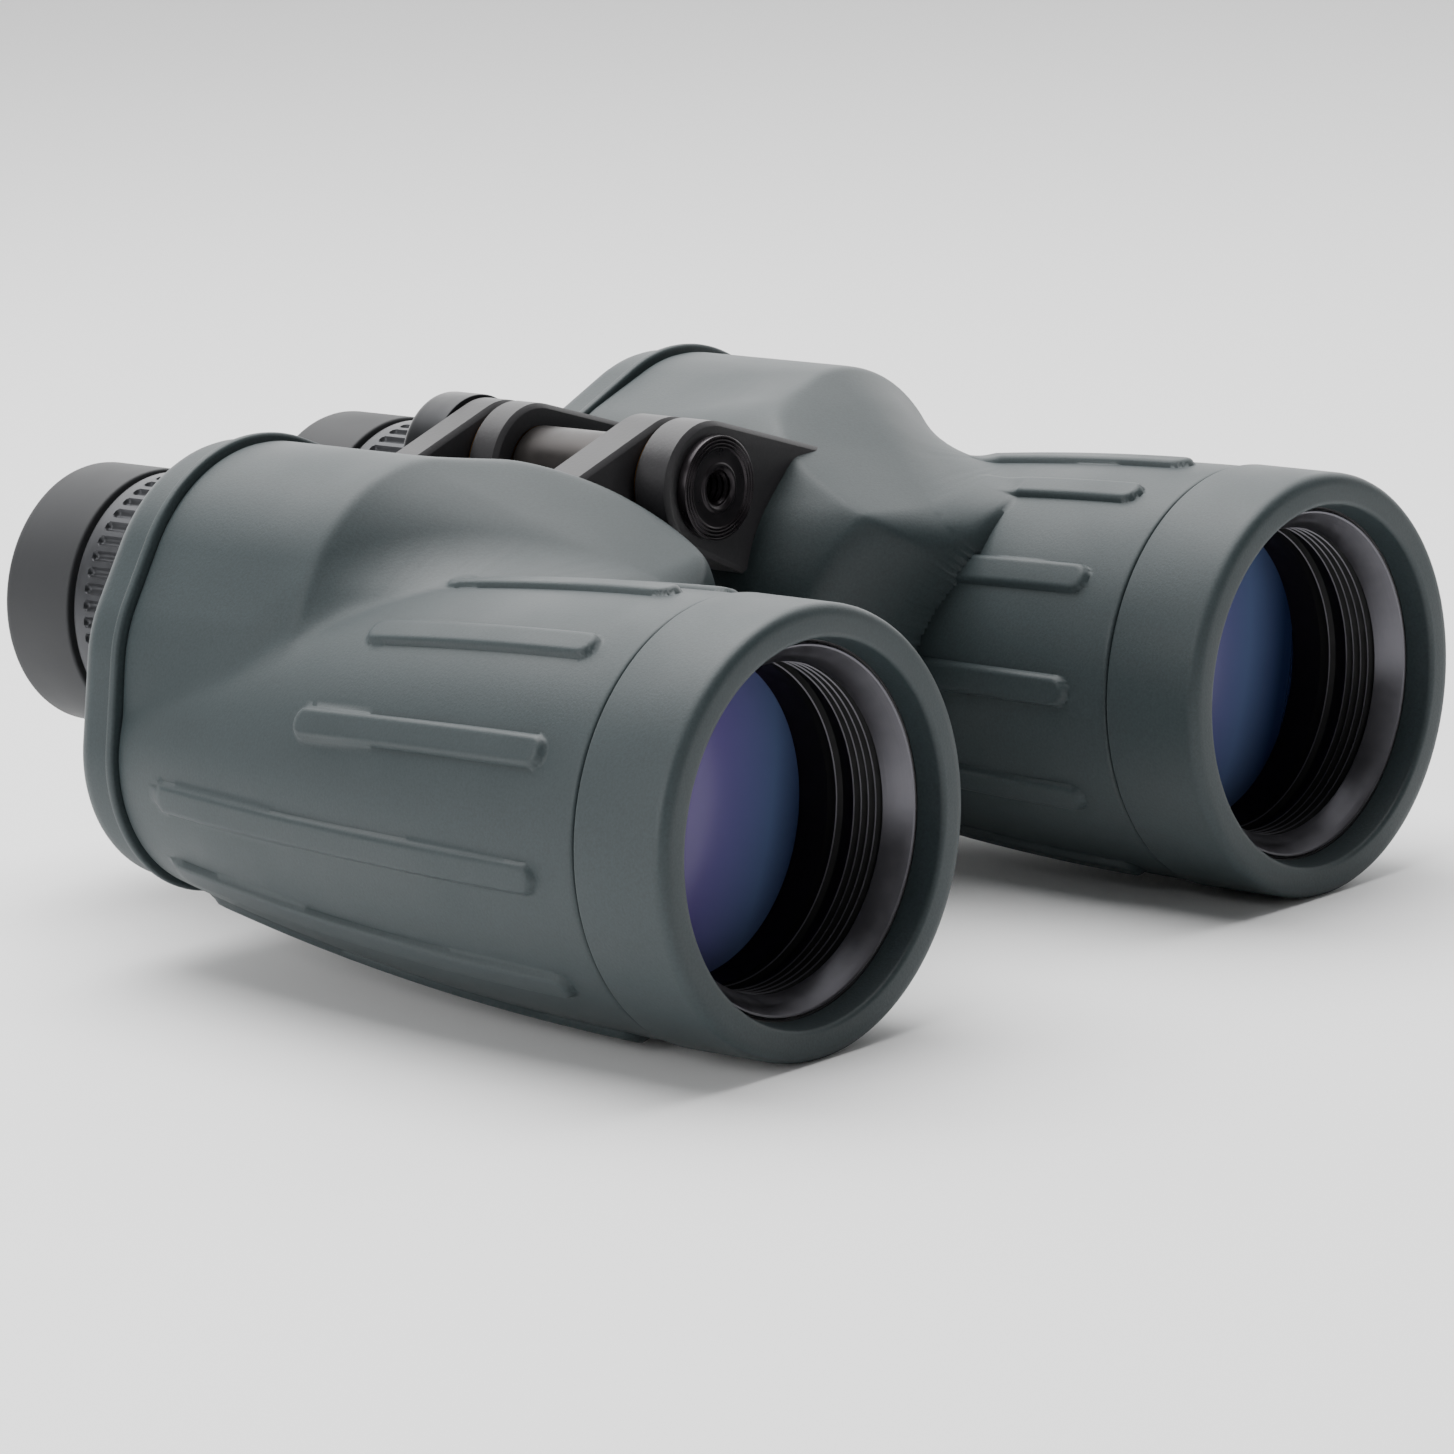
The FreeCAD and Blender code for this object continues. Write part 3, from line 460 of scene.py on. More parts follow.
def belt_reach(angle, station, rounds):
    """Distance from the barrel axis to a belt round the wheels, in a direction.

    For every way that the belt can face, its tangent line stands off by the largest
    of (wheel centre along that way + wheel radius). A ray meets that line at the
    stand-off over the cosine between them. The nearest meeting is on the belt."""
    reach = np.full((len(station), len(angle)), 1e6)
    for facing in np.linspace(-math.pi, math.pi, 900, endpoint=False):
        way = (math.cos(facing), math.sin(facing))
        off = np.max([(x - BARREL_X) * way[0] + z * way[1] + r for x, z, r in rounds], axis=0)
        lean = np.cos(angle - facing)
        hit = off[:, None] / np.maximum(lean, 0.02)[None, :]
        reach = np.minimum(reach, np.where(lean > 0.02, hit, 1e6))
    return reach


def rib_height(angle, station):
    """Moulded grip bars: a point's distance to a bar's middle line, then a flat top
    that rolls off to nothing at the bar's edge."""
    total = np.zeros((len(station), len(angle)))
    radius = barrel_r(station)[:, None]
    half = RIB_W / 2.0
    for degrees, back in RIBS:
        off = (angle - math.radians(degrees) + math.pi) % (2.0 * math.pi) - math.pi
        across = off[None, :] * radius
        past = np.maximum(np.maximum(RIB_FRONT + half - station, station - back + half), 0.0)[:, None]
        k = np.clip((half - np.hypot(across, past)) / 1.1, 0.0, 1.0)
        total = np.maximum(total, RIB_H * np.sqrt(k * (2.0 - k)))
    return total


def housing_reach(angle, station):
    """The belt cut by the shoulder's plane. A ray at an angle meets a level plane at
    height over sine. Belt b and plane p join in a rounded edge of width w as
    (b + p - sqrt((b - p)^2 + w^2)) / 2. Outboard of the shrinking top wheel's highest
    point the plane rolls over into that wheel's own belt."""
    full = belt_reach(angle, station, wheels(station))
    rounds = rolling_wheels(station)
    rolled = belt_reach(angle, station, rounds)
    sine = np.sin(angle)[None, :]
    plane = np.minimum(shoulder_height(station)[:, None] / np.maximum(sine, 0.05), 400.0)
    across = BARREL_X + plane * np.cos(angle)[None, :]
    plane = np.where(across < rounds[1][0][:, None], plane, rolled)
    wide = 0.25 + (EDGE_SOFT - 0.25) * smooth_step(CREST - station, -3.0, 6.0)[:, None]
    cut = 0.5 * (full + plane - np.sqrt((full - plane) ** 2 + wide ** 2))
    return np.where(sine > 0.05, cut, np.where(np.cos(angle)[None, :] > 0.0, np.minimum(full, rolled), full))


def armour_reach(angle, station):
    """Barrel with its ribs, plus what the housing adds to it, with a soft valley
    between the two: an extra e becomes e (1 - exp(-e / fillet)). Over the nose the
    extra grows like a quarter ellipse, and the nose lies further back lower down."""
    base = barrel_r(station)[:, None] + 0.0 * angle[None, :]
    round_angle = np.mod(angle, 2.0 * math.pi)
    extra = np.maximum(housing_reach(angle, station) - base, 0.0)
    nose = 52.0 + 9.0 * smooth_step(round_angle, math.radians(134.0), math.radians(172.0))
    k = np.clip((station[:, None] - nose[None, :]) / NOSE_ROUND, 0.0, 1.0)
    extra = extra * np.sqrt(k * (2.0 - k))
    valley = 2.5 * (1.0 - smooth_step(round_angle, math.radians(50.0), math.radians(80.0)))
    fillet = 0.5 + valley[None, :] * smooth_step(CREST - station, -12.0, 4.0)[:, None]
    return base + rib_height(angle, station) * np.exp(-extra / 0.6) + extra * (1.0 - np.exp(-extra / fillet))


# %% [markdown]
# The grid is finest where the eye goes: across each rib. The columns are spread by
# a density, as a surveyor sets more pegs where the ground is rough.


# %% The armour's grid
def spread(density, count):
    """Places between 0 and 1 so that each step holds the same share of a density."""
    total = np.concatenate([[0.0], np.cumsum(density)])
    return np.interp(np.linspace(0.0, total[-1], count, endpoint=False), total, np.linspace(0.0, 1.0, len(total)))


probe = np.linspace(-math.pi, math.pi, 4000, endpoint=False)
weight = np.full(len(probe), 1.0)
for degrees, _ in RIBS:
    off = np.abs((probe - math.radians(degrees) + math.pi) % (2.0 * math.pi) - math.pi) * BARREL_R
    weight += 1.8 * (np.abs(off - RIB_W / 2.0 + 0.5) < 1.0)
weight += 1.6 * ((probe > math.radians(70)) | (probe < math.radians(-145)))
ARMOUR_ANGLES = -math.pi + 2.0 * math.pi * spread(weight, 420)
ARMOUR_STATIONS = np.concatenate([
    np.array([ARMOUR_FRONT, ARMOUR_FRONT + 0.15, ARMOUR_FRONT + 0.4, ARMOUR_FRONT + 0.8]),
    np.linspace(20.2, 26.2, 5), np.linspace(26.8, 30.0, 7), np.linspace(31.0, 51.0, 15),
    np.linspace(52.0, 93.0, 76), np.linspace(93.4, 97.0, 9), np.linspace(98.0, 117.0, 24),
    np.linspace(118.5, 129.0, 8), np.array([129.5, 129.8, 129.95])])


def around_barrel(reach, station, angle):
    """Grid of points at a distance from the barrel axis in each direction."""
    return np.stack([
        BARREL_X + reach * np.cos(angle)[None, :],
        station[:, None] + 0.0 * reach,
        reach * np.sin(angle)[None, :]], -1)


reach = armour_reach(ARMOUR_ANGLES, ARMOUR_STATIONS)
edge = np.zeros(len(ARMOUR_STATIONS))
edge[:4] = (0.55, 0.25, 0.06, 0.0)
edge[-3:] = (0.05, 0.2, 0.5)
inner = np.linspace(0, len(ARMOUR_STATIONS) - 1, 30).astype(int)[::-1]
outside = around_barrel(reach - edge[:, None], ARMOUR_STATIONS, ARMOUR_ANGLES)
thin = np.minimum(reach[inner], armour_reach(ARMOUR_ANGLES, ARMOUR_STATIONS[inner] - 3.0)) - ARMOUR_T
inside = around_barrel(thin, ARMOUR_STATIONS[inner], ARMOUR_ANGLES)
armour_shell = shell(np.concatenate([outside, inside]))
both("armour", [armour_shell], ARMOUR, "half", "armour", 50.0)

# %% [markdown]
# The front bumper is a thicker rubber ring pushed over the casting's spigot. Its lip
# stands proud of the lens and turns in, so a knock lands on rubber and not on glass.

# %% Front bumpers
LIP_R, LIP_T, BUMPER_LEN, SPIGOT_R = 30.4, 4.95, 18.3, 32.6
bumper = turned((
    (SPIGOT_R, LIP_T), (LIP_R - 0.8, LIP_T), (LIP_R, 0.0), (BUMPER_R, 0.0),
    (BUMPER_R, BUMPER_LEN), (SPIGOT_R, BUMPER_LEN),
), BARREL, 220, (0.2, 0.2, 0.9, 2.2, 0.55, 0.2), 6)
both("front_bumper", [bumper], ARMOUR, "half", "front_bumper")

# %% [markdown]
# The objective cell is a turned black tube that holds the lens pair. Its mouth is a
# polished cone, and behind the cone a coarse thread is cut only to break up stray
# light. Each crest of that black thread gets a thin ring of the lighter cone metal: a
# painted highlight for the bright line the crest would catch.

# %% Objective cells
CELL_R, CELL_FRONT, CELL_BORE, CELL_END = 29.2, 4.6, 25.8, 44.0
CONE_DEEP, GLASS_SEAT, GLASS_R = 4.2, 26.0, 27.0
CRESTS, GROOVE_DEEP = (10.3, 11.8, 13.3, 14.8, 18.4), 0.95
cone = ((CELL_R, CELL_FRONT + 0.4), (CELL_R - 0.3, CELL_FRONT), (CELL_R - 0.6, CELL_FRONT + 0.15),
        (CELL_BORE, CELL_FRONT + CONE_DEEP), (CELL_BORE + 1.2, CELL_FRONT + CONE_DEEP + 0.6), (CELL_R, CELL_FRONT + 2.0))
cone_shell = turned(cone, BARREL, 200, 0.1, 2)
for side, shells in (("left", [cone_shell]), ("right", mirrored([cone_shell]))):
    piece(f"{side}_objective_cone_skin", shells, CONE_AND_CREST_HIGHLIGHT_METAL, f"{side}_half", ())
cell = [(CELL_R, CELL_FRONT + 2.2), (CELL_BORE + 1.0, CELL_FRONT + CONE_DEEP + 0.7)]
for at in CRESTS:
    cell += [(CELL_BORE + GROOVE_DEEP, at - 0.75), (CELL_BORE + 0.12, at), (CELL_BORE + GROOVE_DEEP, at + 0.45)]
cell += [(CELL_BORE + 0.3, CRESTS[-1] + 2.0), (CELL_BORE, GLASS_SEAT), (GLASS_R + 0.1, GLASS_SEAT),
         (GLASS_R + 0.1, CELL_END), (CELL_R, CELL_END)]
# Thin rings of the lighter cone metal over the black crests: painted highlights, not a second metal.
painted_crest_highlights = [turned(((CELL_BORE + 0.26, at - 0.12), (CELL_BORE, at), (CELL_BORE + 0.26, at + 0.12)), BARREL, 160, 0.03, 1)
          for at in CRESTS]
for side, shells in (("left", painted_crest_highlights), ("right", mirrored(painted_crest_highlights))):
    piece(f"{side}_baffle_painted_crest_highlights", shells, CONE_AND_CREST_HIGHLIGHT_METAL, f"{side}_half", ())
both("objective_cell", [turned(cell, BARREL, 200, 0.08, 2)], BAFFLE_METAL, "half", "objective_cell")

# %% [markdown]
# The front lens bulges by 3 mm over 54 mm. Its curve is a true sphere cap: the drop
# below the pole is R - sqrt(R^2 - r^2), with R from the bulge and the rim.

# %% Front lenses
EDGE_AT, BULGE, EDGE_T, BACK_BULGE = 26.35, 3.0, 2.6, 3.4


def cap_drop(radius, rim, bulge):
    """How far a sphere cap of a given rim and bulge has dropped at a radius."""
    sphere = (rim ** 2 + bulge ** 2) / (2.0 * bulge)
    return sphere - np.sqrt(sphere ** 2 - radius ** 2)


def lens(rim, edge_at, edge_t, front_bulge, back_bulge, axis, around=128):
    """A lens as rows from its front pole over the rim to its back pole."""
    turn = np.linspace(0.0, 2.0 * math.pi, around, endpoint=False)
    rise = np.linspace(0.02, 1.0, 24) * rim
    front = edge_at - front_bulge + cap_drop(rise, rim, front_bulge)
    back = edge_at + edge_t + back_bulge - cap_drop(rise, rim, back_bulge)
    radius = np.concatenate([rise, rise[::-1]])[:, None]
    station = np.concatenate([front, back[::-1]])[:, None]
    return shell(np.stack([
        axis[0] + radius * np.cos(turn), station + 0.0 * turn, axis[1] + radius * np.sin(turn)], -1), False)


both("objective_crown_lens", [lens(GLASS_R, EDGE_AT, EDGE_T, BULGE, BACK_BULGE, BARREL)],
     FRONT_GLASS, "half", "objective_crown_lens")

# %% [markdown]
# ## The castings and their arms
# Under the rubber each half is one aluminium casting. Only its two hinge arms show:
# flat plates that run from a knuckle on the hinge into the housing. A plate's outline
# is a belt round two wheels, the knuckle and the root, and its edges are broken by
# a bevel that catches the light.


# %% A belt round wheels
def belt(rounds, spacing=0.9):
    """Outline of a belt round wheels (x, z, radius), counter-clockwise, as wheel
    centre, facing and radius at each point: a point is centre + (radius - inset) facing.

    On a wheel the facing turns and the centre stays. From wheel to wheel the facing
    stays and the centre and radius slide along the tangent."""
    count = len(rounds)
    facings = []
    for i in range(count):
        (x0, z0, r0), (x1, z1, r1) = rounds[i], rounds[(i + 1) % count]
        gap = math.hypot(x1 - x0, z1 - z0)
        facings.append(math.atan2(z1 - z0, x1 - x0) - math.acos((r0 - r1) / gap))
    centre, facing, radius = [], [], []
    for i in range(count):
        wheel = np.array(rounds[i])
        after = np.array(rounds[(i + 1) % count])
        sweep = (facings[i] - facings[i - 1]) % (2.0 * math.pi)
        steps = max(4, int(wheel[2] * sweep / spacing))
        turn = facings[i - 1] + np.linspace(0.0, sweep, steps)
        centre.append(np.tile(wheel[:2], (steps, 1)))
        facing.append(np.stack([np.cos(turn), np.sin(turn)], -1))
        radius.append(np.full(steps, wheel[2]))
        run = max(2, int(np.linalg.norm(after[:2] - wheel[:2]) / (2.0 * spacing)))
        k = np.linspace(0.0, 1.0, run + 2)[1:-1, None]
        centre.append(wheel[:2] * (1 - k) + after[:2] * k)
        facing.append(np.tile([math.cos(facings[i]), math.sin(facings[i])], (run, 1)))
        radius.append((wheel[2] * (1 - k) + after[2] * k)[:, 0])
    return np.concatenate(centre), np.concatenate(facing), np.concatenate(radius)


def belted(outline, stations, insets):
    """Rows of a belt outline at stations, each drawn in by its inset."""
    centre, facing, radius = outline
    inset = np.asarray(insets, float)[:, None, None]
    flat = centre[None] + (radius[None, :, None] - inset) * facing[None]
    station = np.broadcast_to(np.asarray(stations, float)[:, None], flat.shape[:2])
    return np.stack([flat[..., 0], station, flat[..., 1]], -1)


# %% Hinge arms and castings
KNUCKLE_R, ROOT = 11.0, (26.0, 27.0, 12.9)
SPANS = {"left": ((77.0, 84.9), (116.0, 122.6)), "right": ((85.5, 94.0), (123.2, 129.8))}
BORE = {"left": 7.2, "right": 6.02}
BEVEL = 0.8


def arm(start, end, bore):
    """A bevelled plate round the knuckle and the root, with the hinge's bore in it."""
    outline = belt(((0.0, HINGE_Z, KNUCKLE_R), ROOT))
    outer = belted(outline, (start, start + 0.06, start + BEVEL, end - BEVEL, end - 0.06, end),
                   (BEVEL + 0.1, BEVEL - 0.05, 0.0, 0.0, BEVEL - 0.05, BEVEL + 0.1))
    way = outline[1]
    hole = np.stack([np.stack([
        bore * way[:, 0], np.full(len(way), station), HINGE_Z + bore * way[:, 1]], -1)
        for station in (end, start)])
    return shell(np.concatenate([outer, hole]))




def under_armour(angle, station, inset):
    """The armour's reach less an inset, taken where it is least a little way ahead, so
    that what lies under the nose stays under it."""
    return np.minimum(armour_reach(angle, station), armour_reach(angle, station - 5.0)) - inset


TUBE_END, TUBE_SPIGOT_R = 55.0, 30.6
core_angles = np.linspace(-math.pi, math.pi, 160, endpoint=False)
core_stations = np.linspace(TUBE_END, SEAM - 0.1, 50)
core_reach = under_armour(core_angles, core_stations, ARMOUR_T + 0.4)
bore_stations = np.array([SEAM - 0.1, 115.0, 97.0, 80.0, 65.0, TUBE_END])
bore_reach = under_armour(core_angles, bore_stations, ARMOUR_T + WALL_T + 0.4)
core = shell(np.concatenate([
    around_barrel(core_reach, core_stations, core_angles),
    around_barrel(bore_reach, bore_stations, core_angles)]))
tube_outside = [(SPIGOT_R - 0.3, 5.0), (SPIGOT_R, 5.3), (SPIGOT_R, 19.6)]
tube_outside += [(float(barrel_r(y)) - ARMOUR_T - 0.1, float(y)) for y in np.linspace(19.8, TUBE_END - 0.1, 10)]
tube_inside = [(float(barrel_r(TUBE_END)) - ARMOUR_T - WALL_T, TUBE_END - 0.1), (29.9, 48.0), (CELL_R + 0.04, 47.0),
               (CELL_R + 0.04, 5.3), (CELL_R + 0.34, 5.0)]
both("objective_tube", [turned(tube_outside + tube_inside, BARREL, 160, 0.0, 1)], CASTING, "half", "objective_tube")
for side in ("left", "right"):
    shells = [core] + [arm(a, b, BORE[side]) for a, b in SPANS[side]]
    if side == "right":
        shells = mirrored(shells)
    piece(f"{side}_body_skin", shells, CASTING, f"{side}_half", [f"{side}_body"], 24.0)

# %% [markdown]
# ## Rear covers
# The cover closes the prism housing. Its front edge carries a raised lip, with a dark
# joint in front of it, and its back edge is rounded over like a lid's.

# %% Rear covers
COVER_FRONT, COVER_BACK, LIP_HIGH, LIP_WIDE = SEAM + 0.3, SEAM + 11.0, 1.25, 1.7
at_seam = [tuple(float(v) for v in wheel) for wheel in wheels(np.array(SEAM))]
seam_outline = belt([at_seam[0], at_seam[4], at_seam[1], at_seam[3]], 0.8)
profile = np.array([
    (COVER_FRONT, 3.0), (COVER_FRONT, -LIP_HIGH + 0.7), (COVER_FRONT + 0.15, -LIP_HIGH + 0.25),
    (COVER_FRONT + 0.45, -LIP_HIGH + 0.03), (COVER_FRONT + 0.8, -LIP_HIGH), (COVER_FRONT + 1.3, -LIP_HIGH + 0.05),
    (COVER_FRONT + 1.6, -LIP_HIGH + 0.3), (COVER_FRONT + 1.72, -0.5), (COVER_FRONT + 1.85, -0.05),
    (COVER_FRONT + 2.2, 0.12), (COVER_FRONT + 3.2, 0.16), (COVER_FRONT + 5.0, 0.2), (COVER_BACK - 4.2, 0.25)])
turn = np.linspace(0.0, math.pi / 2.0, 9)[1:]
rounded = np.stack([COVER_BACK - 4.2 + 4.2 * np.sin(turn), 0.25 + 4.2 * (1.0 - np.cos(turn))], -1)
profile = np.vstack([profile, rounded, [(COVER_BACK, 9.0)]])
cover = shell(belted(seam_outline, profile[:, 0], profile[:, 1]), False)
both("rear_cover", [cover], ARMOUR, "half", "rear_cover", 40.0)

# %% [markdown]
# ## Eyepieces
# Each eyepiece focuses by itself. A milled ring turns on a fixed guide and draws the
# sleeve with its rubber cup in and out on a coarse thread. Milling leaves a row of
# round-ended grooves along the ring, which fingers in gloves can still hold.

# %% Guides, sleeves and cups
GUIDE_R, GUIDE_BORE, GUIDE_FRONT, GUIDE_END = 18.0, 15.6, 134.5, 162.5
guide = turned((
    (GUIDE_R, GUIDE_FRONT), (GUIDE_R, COVER_BACK), (19.2, COVER_BACK), (19.2, COVER_BACK + 1.4),
    (GUIDE_R, COVER_BACK + 1.4), (GUIDE_R, GUIDE_END), (GUIDE_BORE, GUIDE_END), (GUIDE_BORE, GUIDE_FRONT),
), EYE, 128, 0.25)
both("eyepiece_guide", [guide], BLACK_METAL, "half", "eyepiece_guide")

SLEEVE_R, FLANGE_AT, CUP_AT, SPIGOT_EYE, SLEEVE_END = 15.5, 177.4, 178.0, 17.0, 185.0
sleeve = turned((
    (SLEEVE_R, 136.2), (SLEEVE_R, FLANGE_AT), (19.5, FLANGE_AT), (19.5, CUP_AT + 2.0),
    (SPIGOT_EYE, CUP_AT + 2.0), (SPIGOT_EYE, SLEEVE_END), (14.4, SLEEVE_END), (13.1, SLEEVE_END - 2.4),
    (13.1, 172.0), (11.8, 172.0), (11.8, 147.0), (13.1, 147.0), (13.1, 136.2),
), EYE, 128, 0.2)
both("eyepiece_sleeve", [sleeve], BLACK_METAL, "eyepiece", "eyepiece_sleeve")

CUP_R = eyecup_size[0] / 2.0
cup = turned((
    (SPIGOT_EYE, CUP_AT + 2.0), (CUP_R - 3.0, CUP_AT + 2.0), (CUP_R - 3.0, CUP_AT), (CUP_R, CUP_AT),
    (CUP_R, LENGTH), (CUP_R - 2.7, LENGTH), (CUP_R - 3.4, LENGTH - 2.6), (SPIGOT_EYE + 0.6, SLEEVE_END + 0.6),
    (SPIGOT_EYE - 1.6, SLEEVE_END + 0.1), (SPIGOT_EYE, SLEEVE_END),
), EYE, 200, (0.2, 0.3, 0.2, 0.6, 1.6, 1.0, 0.8, 0.8, 0.1, 0.1), 5)
both("eyecup", [cup], CUP, "eyepiece", "eyecup")

# %% Milled focus rings
RING_R, RING_BORE = 22.1, 18.08
RING_FRONT, RING_END, SLOTS, SLOT_W, SLOT_DEEP = 147.0, 177.1, 48, 1.7, 0.9
SLOT_FROM, SLOT_TO = 149.0, 174.4


def ring_reach(angle, station):
    """A drum with round-ended grooves: from a point's distance to the nearest groove's
    middle line, a round bottom comes up to the drum at half the groove's width. Both
    rims of the drum roll off like a quarter circle."""
    pitch = 2.0 * math.pi / SLOTS
    across = ((angle + pitch / 2.0) % pitch - pitch / 2.0)[None, :] * RING_R
    half = SLOT_W / 2.0
    past = np.maximum(np.maximum(SLOT_FROM + half - station, station - SLOT_TO + half), 0.0)[:, None]
    k = np.clip(np.hypot(across, past) / half, 0.0, 1.0)
    rim = np.clip(np.minimum(station - RING_FRONT, RING_END - station) / 0.8, 0.0, 1.0)[:, None]
    return RING_R - SLOT_DEEP * np.sqrt(1.0 - k ** 2) - 0.6 * (1.0 - np.sqrt(rim * (2.0 - rim)))


part_of_pitch = np.array([-0.5, -0.34, -0.25, -0.2, -0.1, 0.0, 0.1, 0.2, 0.25, 0.34])
ring_angles = ((np.arange(SLOTS)[:, None] + part_of_pitch[None, :]) * 2.0 * math.pi / SLOTS).reshape(-1)
ring_stations = np.concatenate([
    [147.0, 147.1, 147.35, 147.8, 148.6], np.linspace(149.0, 150.1, 7), np.linspace(152.0, 171.5, 8),
    np.linspace(173.3, 174.4, 7), [174.9, 176.2, 176.7, 176.95, 177.1]])


def around_eye(reach, station, angle):
    """Grid of points at a distance from the eyepiece axis in each direction."""
    return np.stack([
        EYE_X + reach * np.cos(angle)[None, :], station[:, None] + 0.0 * reach,
        EYE_Z + reach * np.sin(angle)[None, :]], -1)


bore = np.broadcast_to(np.array([15.6, 15.6, RING_BORE, RING_BORE])[:, None], (4, len(ring_angles)))
ring = shell(np.concatenate([
    around_eye(ring_reach(ring_angles, ring_stations), ring_stations, ring_angles),
    around_eye(bore, np.array([177.1, 171.0, 170.9, 147.0]), ring_angles)]))
for side, shells in (("left", [ring]), ("right", mirrored([ring]))):
    piece(f"{side}_focus_ring_skin", shells, RING_METAL, f"{side}_focus_dial", [f"{side}_focus_ring"],
          30.0)

both("outer_eye_lens", [lens(13.0, 176.5, 1.6, 1.2, 1.8, EYE, 96)], EYE_GLASS, "eyepiece", "outer_eye_lens")

# %% [markdown]
# ## The hinge
# A shaft runs through four knuckles, two of each half. Between the front and rear
# pairs a satin tube hides it. In front sits a blackened socket, turned with shallow
# rings, whose thread takes a tripod adapter. A black cap covers the nut behind.

# %% Hinge pieces
tube_front, tube_back = (hinge_mid[1] + sign * hinge_size[1] / 2.0 - FRONT for sign in (-1, 1))
tube_skin = turned(((7.3, tube_front), (7.3, tube_back), (6.02, tube_back), (6.02, tube_front)), HINGE, 96, 0.4)
piece("hinge_tube_skin", [tube_skin], TUBE_METAL, "right_half", ["hinge_tube"])

FACE, THREAD_R = 75.0, 2.6
rings = [(8.75, FACE + 1.7), (8.75, FACE + 0.15)]
for middle_r in (8.2, 7.6, 7.0):
    rings += [(middle_r + 0.22, FACE), (middle_r, FACE + 0.3), (middle_r - 0.22, FACE)]
rings += [(6.5, FACE + 0.25), (4.3, FACE + 0.3), (4.0, FACE), (3.6, FACE), (THREAD_R + 0.35, FACE + 0.5)]
for turn_of_thread in range(6):
    at = FACE + 0.9 + 1.27 * turn_of_thread
    rings += [(THREAD_R + 0.35, at), (THREAD_R - 0.15, at + 0.55), (THREAD_R + 0.35, at + 1.1)]
rings += [(THREAD_R, FACE + 9.0), (0.05, FACE + 9.0), (0.05, 87.8), (4.2, 87.8), (4.2, FACE + 1.7)]
socket_skin = turned(rings, HINGE, 96, 0.12, 2)
piece("tripod_socket_skin", [socket_skin], BLACK_STEEL, "right_half", ["tripod_socket"])

CAP_R, CAP_FRONT, CAP_END = 11.5, 129.8, 137.8
cap_skin = turned(((CAP_R - 1.4, CAP_FRONT), (CAP_R, CAP_FRONT), (CAP_R, CAP_END), (0.05, CAP_END),
                   (0.05, CAP_END - 1.4), (CAP_R - 1.4, CAP_END - 1.4)), HINGE, 128, (0.2, 0.3, 1.6, 0.02, 0.02, 0.2), 6)
piece("rear_hinge_cap_skin", [cap_skin], BLACK_METAL, "right_half", ["rear_hinge_cap"])

# %% [markdown]
# ## Pieces kept from the design
# The remaining pieces have the right shape already, and most sit out of sight. Each
# gets the finish of what it is made of.

# %% Finishes for the design's own pieces
INSIDE = {
    "objective_flint_lens": CLEAR_GLASS, "objective_ring": BLACK_METAL, "objective_seal": SEAL,
    "front_prism": CLEAR_GLASS, "rear_prism": CLEAR_GLASS, "prism_plate": BLACK_METAL, "prism_clips": STEEL,
    "prism_clip_screws": STEEL, "cover_gasket": SEAL, "cover_screws": BLACK_STEEL, "field_lens": CLEAR_GLASS,
    "field_stop": BLACK_METAL, "inner_eye_lens": CLEAR_GLASS, "eye_lens_ring": BLACK_METAL, "ring_retainer": STEEL,
}
AT_HINGE = {"hinge_bushes": BRONZE, "hinge_shaft": STEEL, "tension_nut": STEEL}
finishes = {f"{side}_{name}": finish for name, finish in INSIDE.items() for side in ("left", "right")}
finishes.update(AT_HINGE)
for name, finish in finishes.items():
    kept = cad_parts[name]
    kept.data.materials.clear()
    kept.data.materials.append(finish)
print(len(finishes), "pieces keep the design's shape")

# %% [markdown]
# ## Studio
# A pale floor, a wide soft light above and two softer ones at the sides, as for a
# catalogue picture. The camera stands far off with a long lens, so that the two
# halves keep nearly the same size.

# %% Floor and lights
floor_mesh = bpy.data.meshes.new("floor")
floor_mesh.from_pydata([(-6, -6, 0), (6, -6, 0), (6, 6, 0), (-6, 6, 0)], [], [(0, 1, 2, 3)])
floor = bpy.data.objects.new("floor", floor_mesh)
bpy.context.scene.collection.objects.link(floor)
PAPER, paper_tree, paper_shader, paper_place = new_finish("white studio paper")
paper_shader.inputs["Base Color"].default_value = linear("#f4f4f4")
paper_shader.inputs["Roughness"].default_value = 0.9
floor_mesh.materials.append(PAPER)

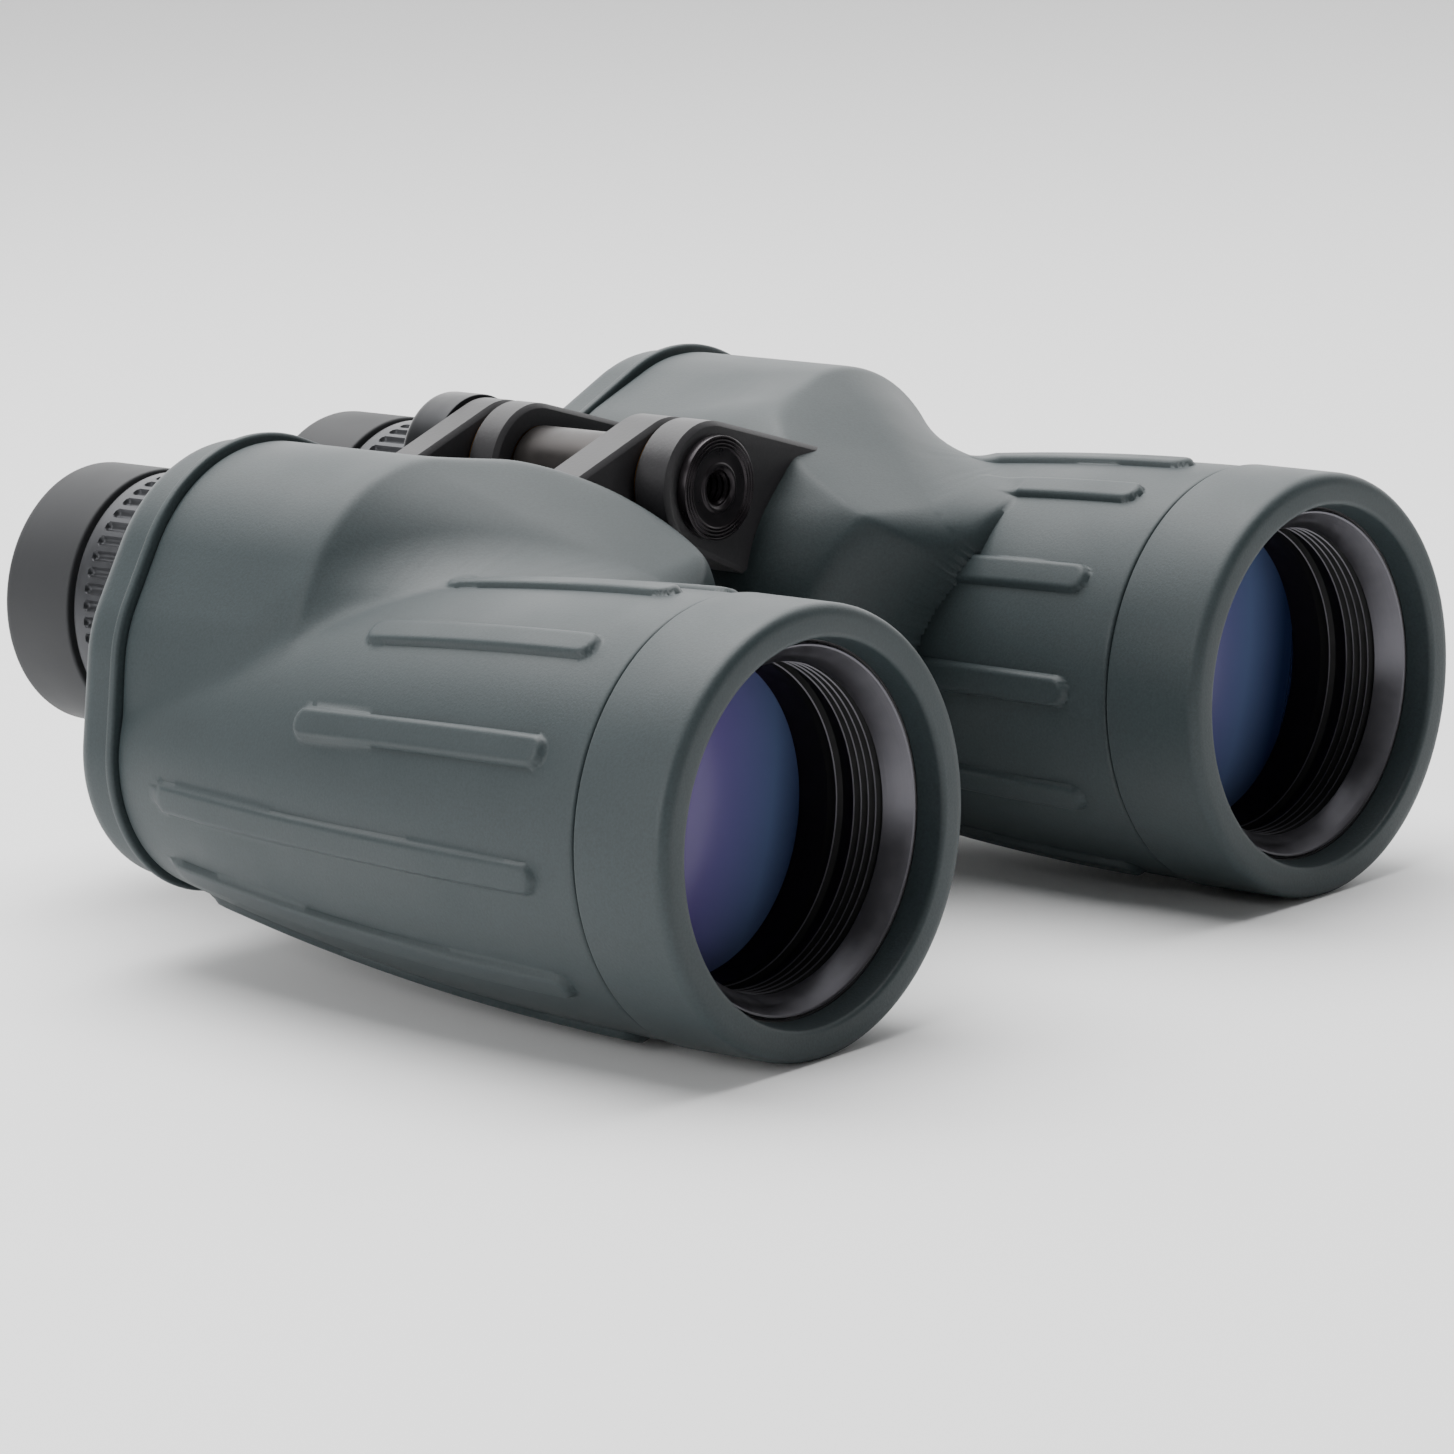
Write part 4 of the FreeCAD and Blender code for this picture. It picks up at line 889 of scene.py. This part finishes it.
world = bpy.data.worlds.new("studio")
world.use_nodes = True
sky = world.node_tree
backdrop = sky.nodes["Background"]
direction = add(sky, "ShaderNodeTexCoord").outputs["Generated"]
behind = add(sky, "ShaderNodeVectorMath", {0: direction}, operation="DOT_PRODUCT")
behind.inputs[1].default_value = (0.72, 0.64, 0.27)
share = add(sky, "ShaderNodeMapRange", {"Value": behind.outputs["Value"]}, {
    "From Min": 0.25, "From Max": 0.9, "To Min": 0.1, "To Max": 2.8}, interpolation_type="SMOOTHSTEP")
sky.links.new(share.outputs["Result"], backdrop.inputs["Strength"])
backdrop.inputs["Color"].default_value = (1.0, 1.0, 1.0, 1.0)
bpy.context.scene.world = world


def soft_light(name, at, towards, size, power):
    """A square soft box at a place in metres, looking at a point."""
    data = bpy.data.lights.new(name, "AREA")
    data.energy, data.size = power, size
    made = bpy.data.objects.new(name, data)
    made.location = at
    made.rotation_euler = (Matrix.Translation(towards).translation - made.location).to_track_quat("-Z", "Y").to_euler()
    bpy.context.scene.collection.objects.link(made)


soft_light("overhead", (0.05, 0.25, 1.1), (0.0, 0.0, 0.05), 1.2, 26.0)
soft_light("left", (-1.2, 0.3, 0.5), (0.0, 0.0, 0.04), 0.8, 9.0)
soft_light("front", (-0.5, -1.2, 0.5), (0.0, 0.0, 0.04), 0.6, 1.4)

# %% Camera
AZIMUTH, ELEVATION, ROLL = (math.radians(v) for v in (-48.288, 11.720, -2.325))
DISTANCE, SIDEWAYS, UPWARDS, LENS = 1147.63, -56.50, 7.20, 177.8
away = np.array([math.sin(AZIMUTH) * math.cos(ELEVATION), -math.cos(AZIMUTH) * math.cos(ELEVATION),
                 math.sin(ELEVATION)])
across = np.array([math.cos(AZIMUTH), math.sin(AZIMUTH), 0.0])
upright = np.cross(away, across)
stand = (away * DISTANCE + across * SIDEWAYS + upright * UPWARDS + (0.0, FRONT, BARREL_Z)) * MM
rolled = across * math.cos(ROLL) + upright * math.sin(ROLL)
rolled_up = -across * math.sin(ROLL) + upright * math.cos(ROLL)
camera_data = bpy.data.cameras.new("camera")
camera_data.lens, camera_data.sensor_width = LENS, 36.0
camera_data.clip_start, camera_data.clip_end = 0.05, 50.0
camera = bpy.data.objects.new("camera", camera_data)
camera.matrix_world = Matrix([[*row] for row in np.vstack([
    np.stack([rolled, rolled_up, away, stand], -1), [0.0, 0.0, 0.0, 1.0]])])
bpy.context.scene.collection.objects.link(camera)
bpy.context.scene.camera = camera
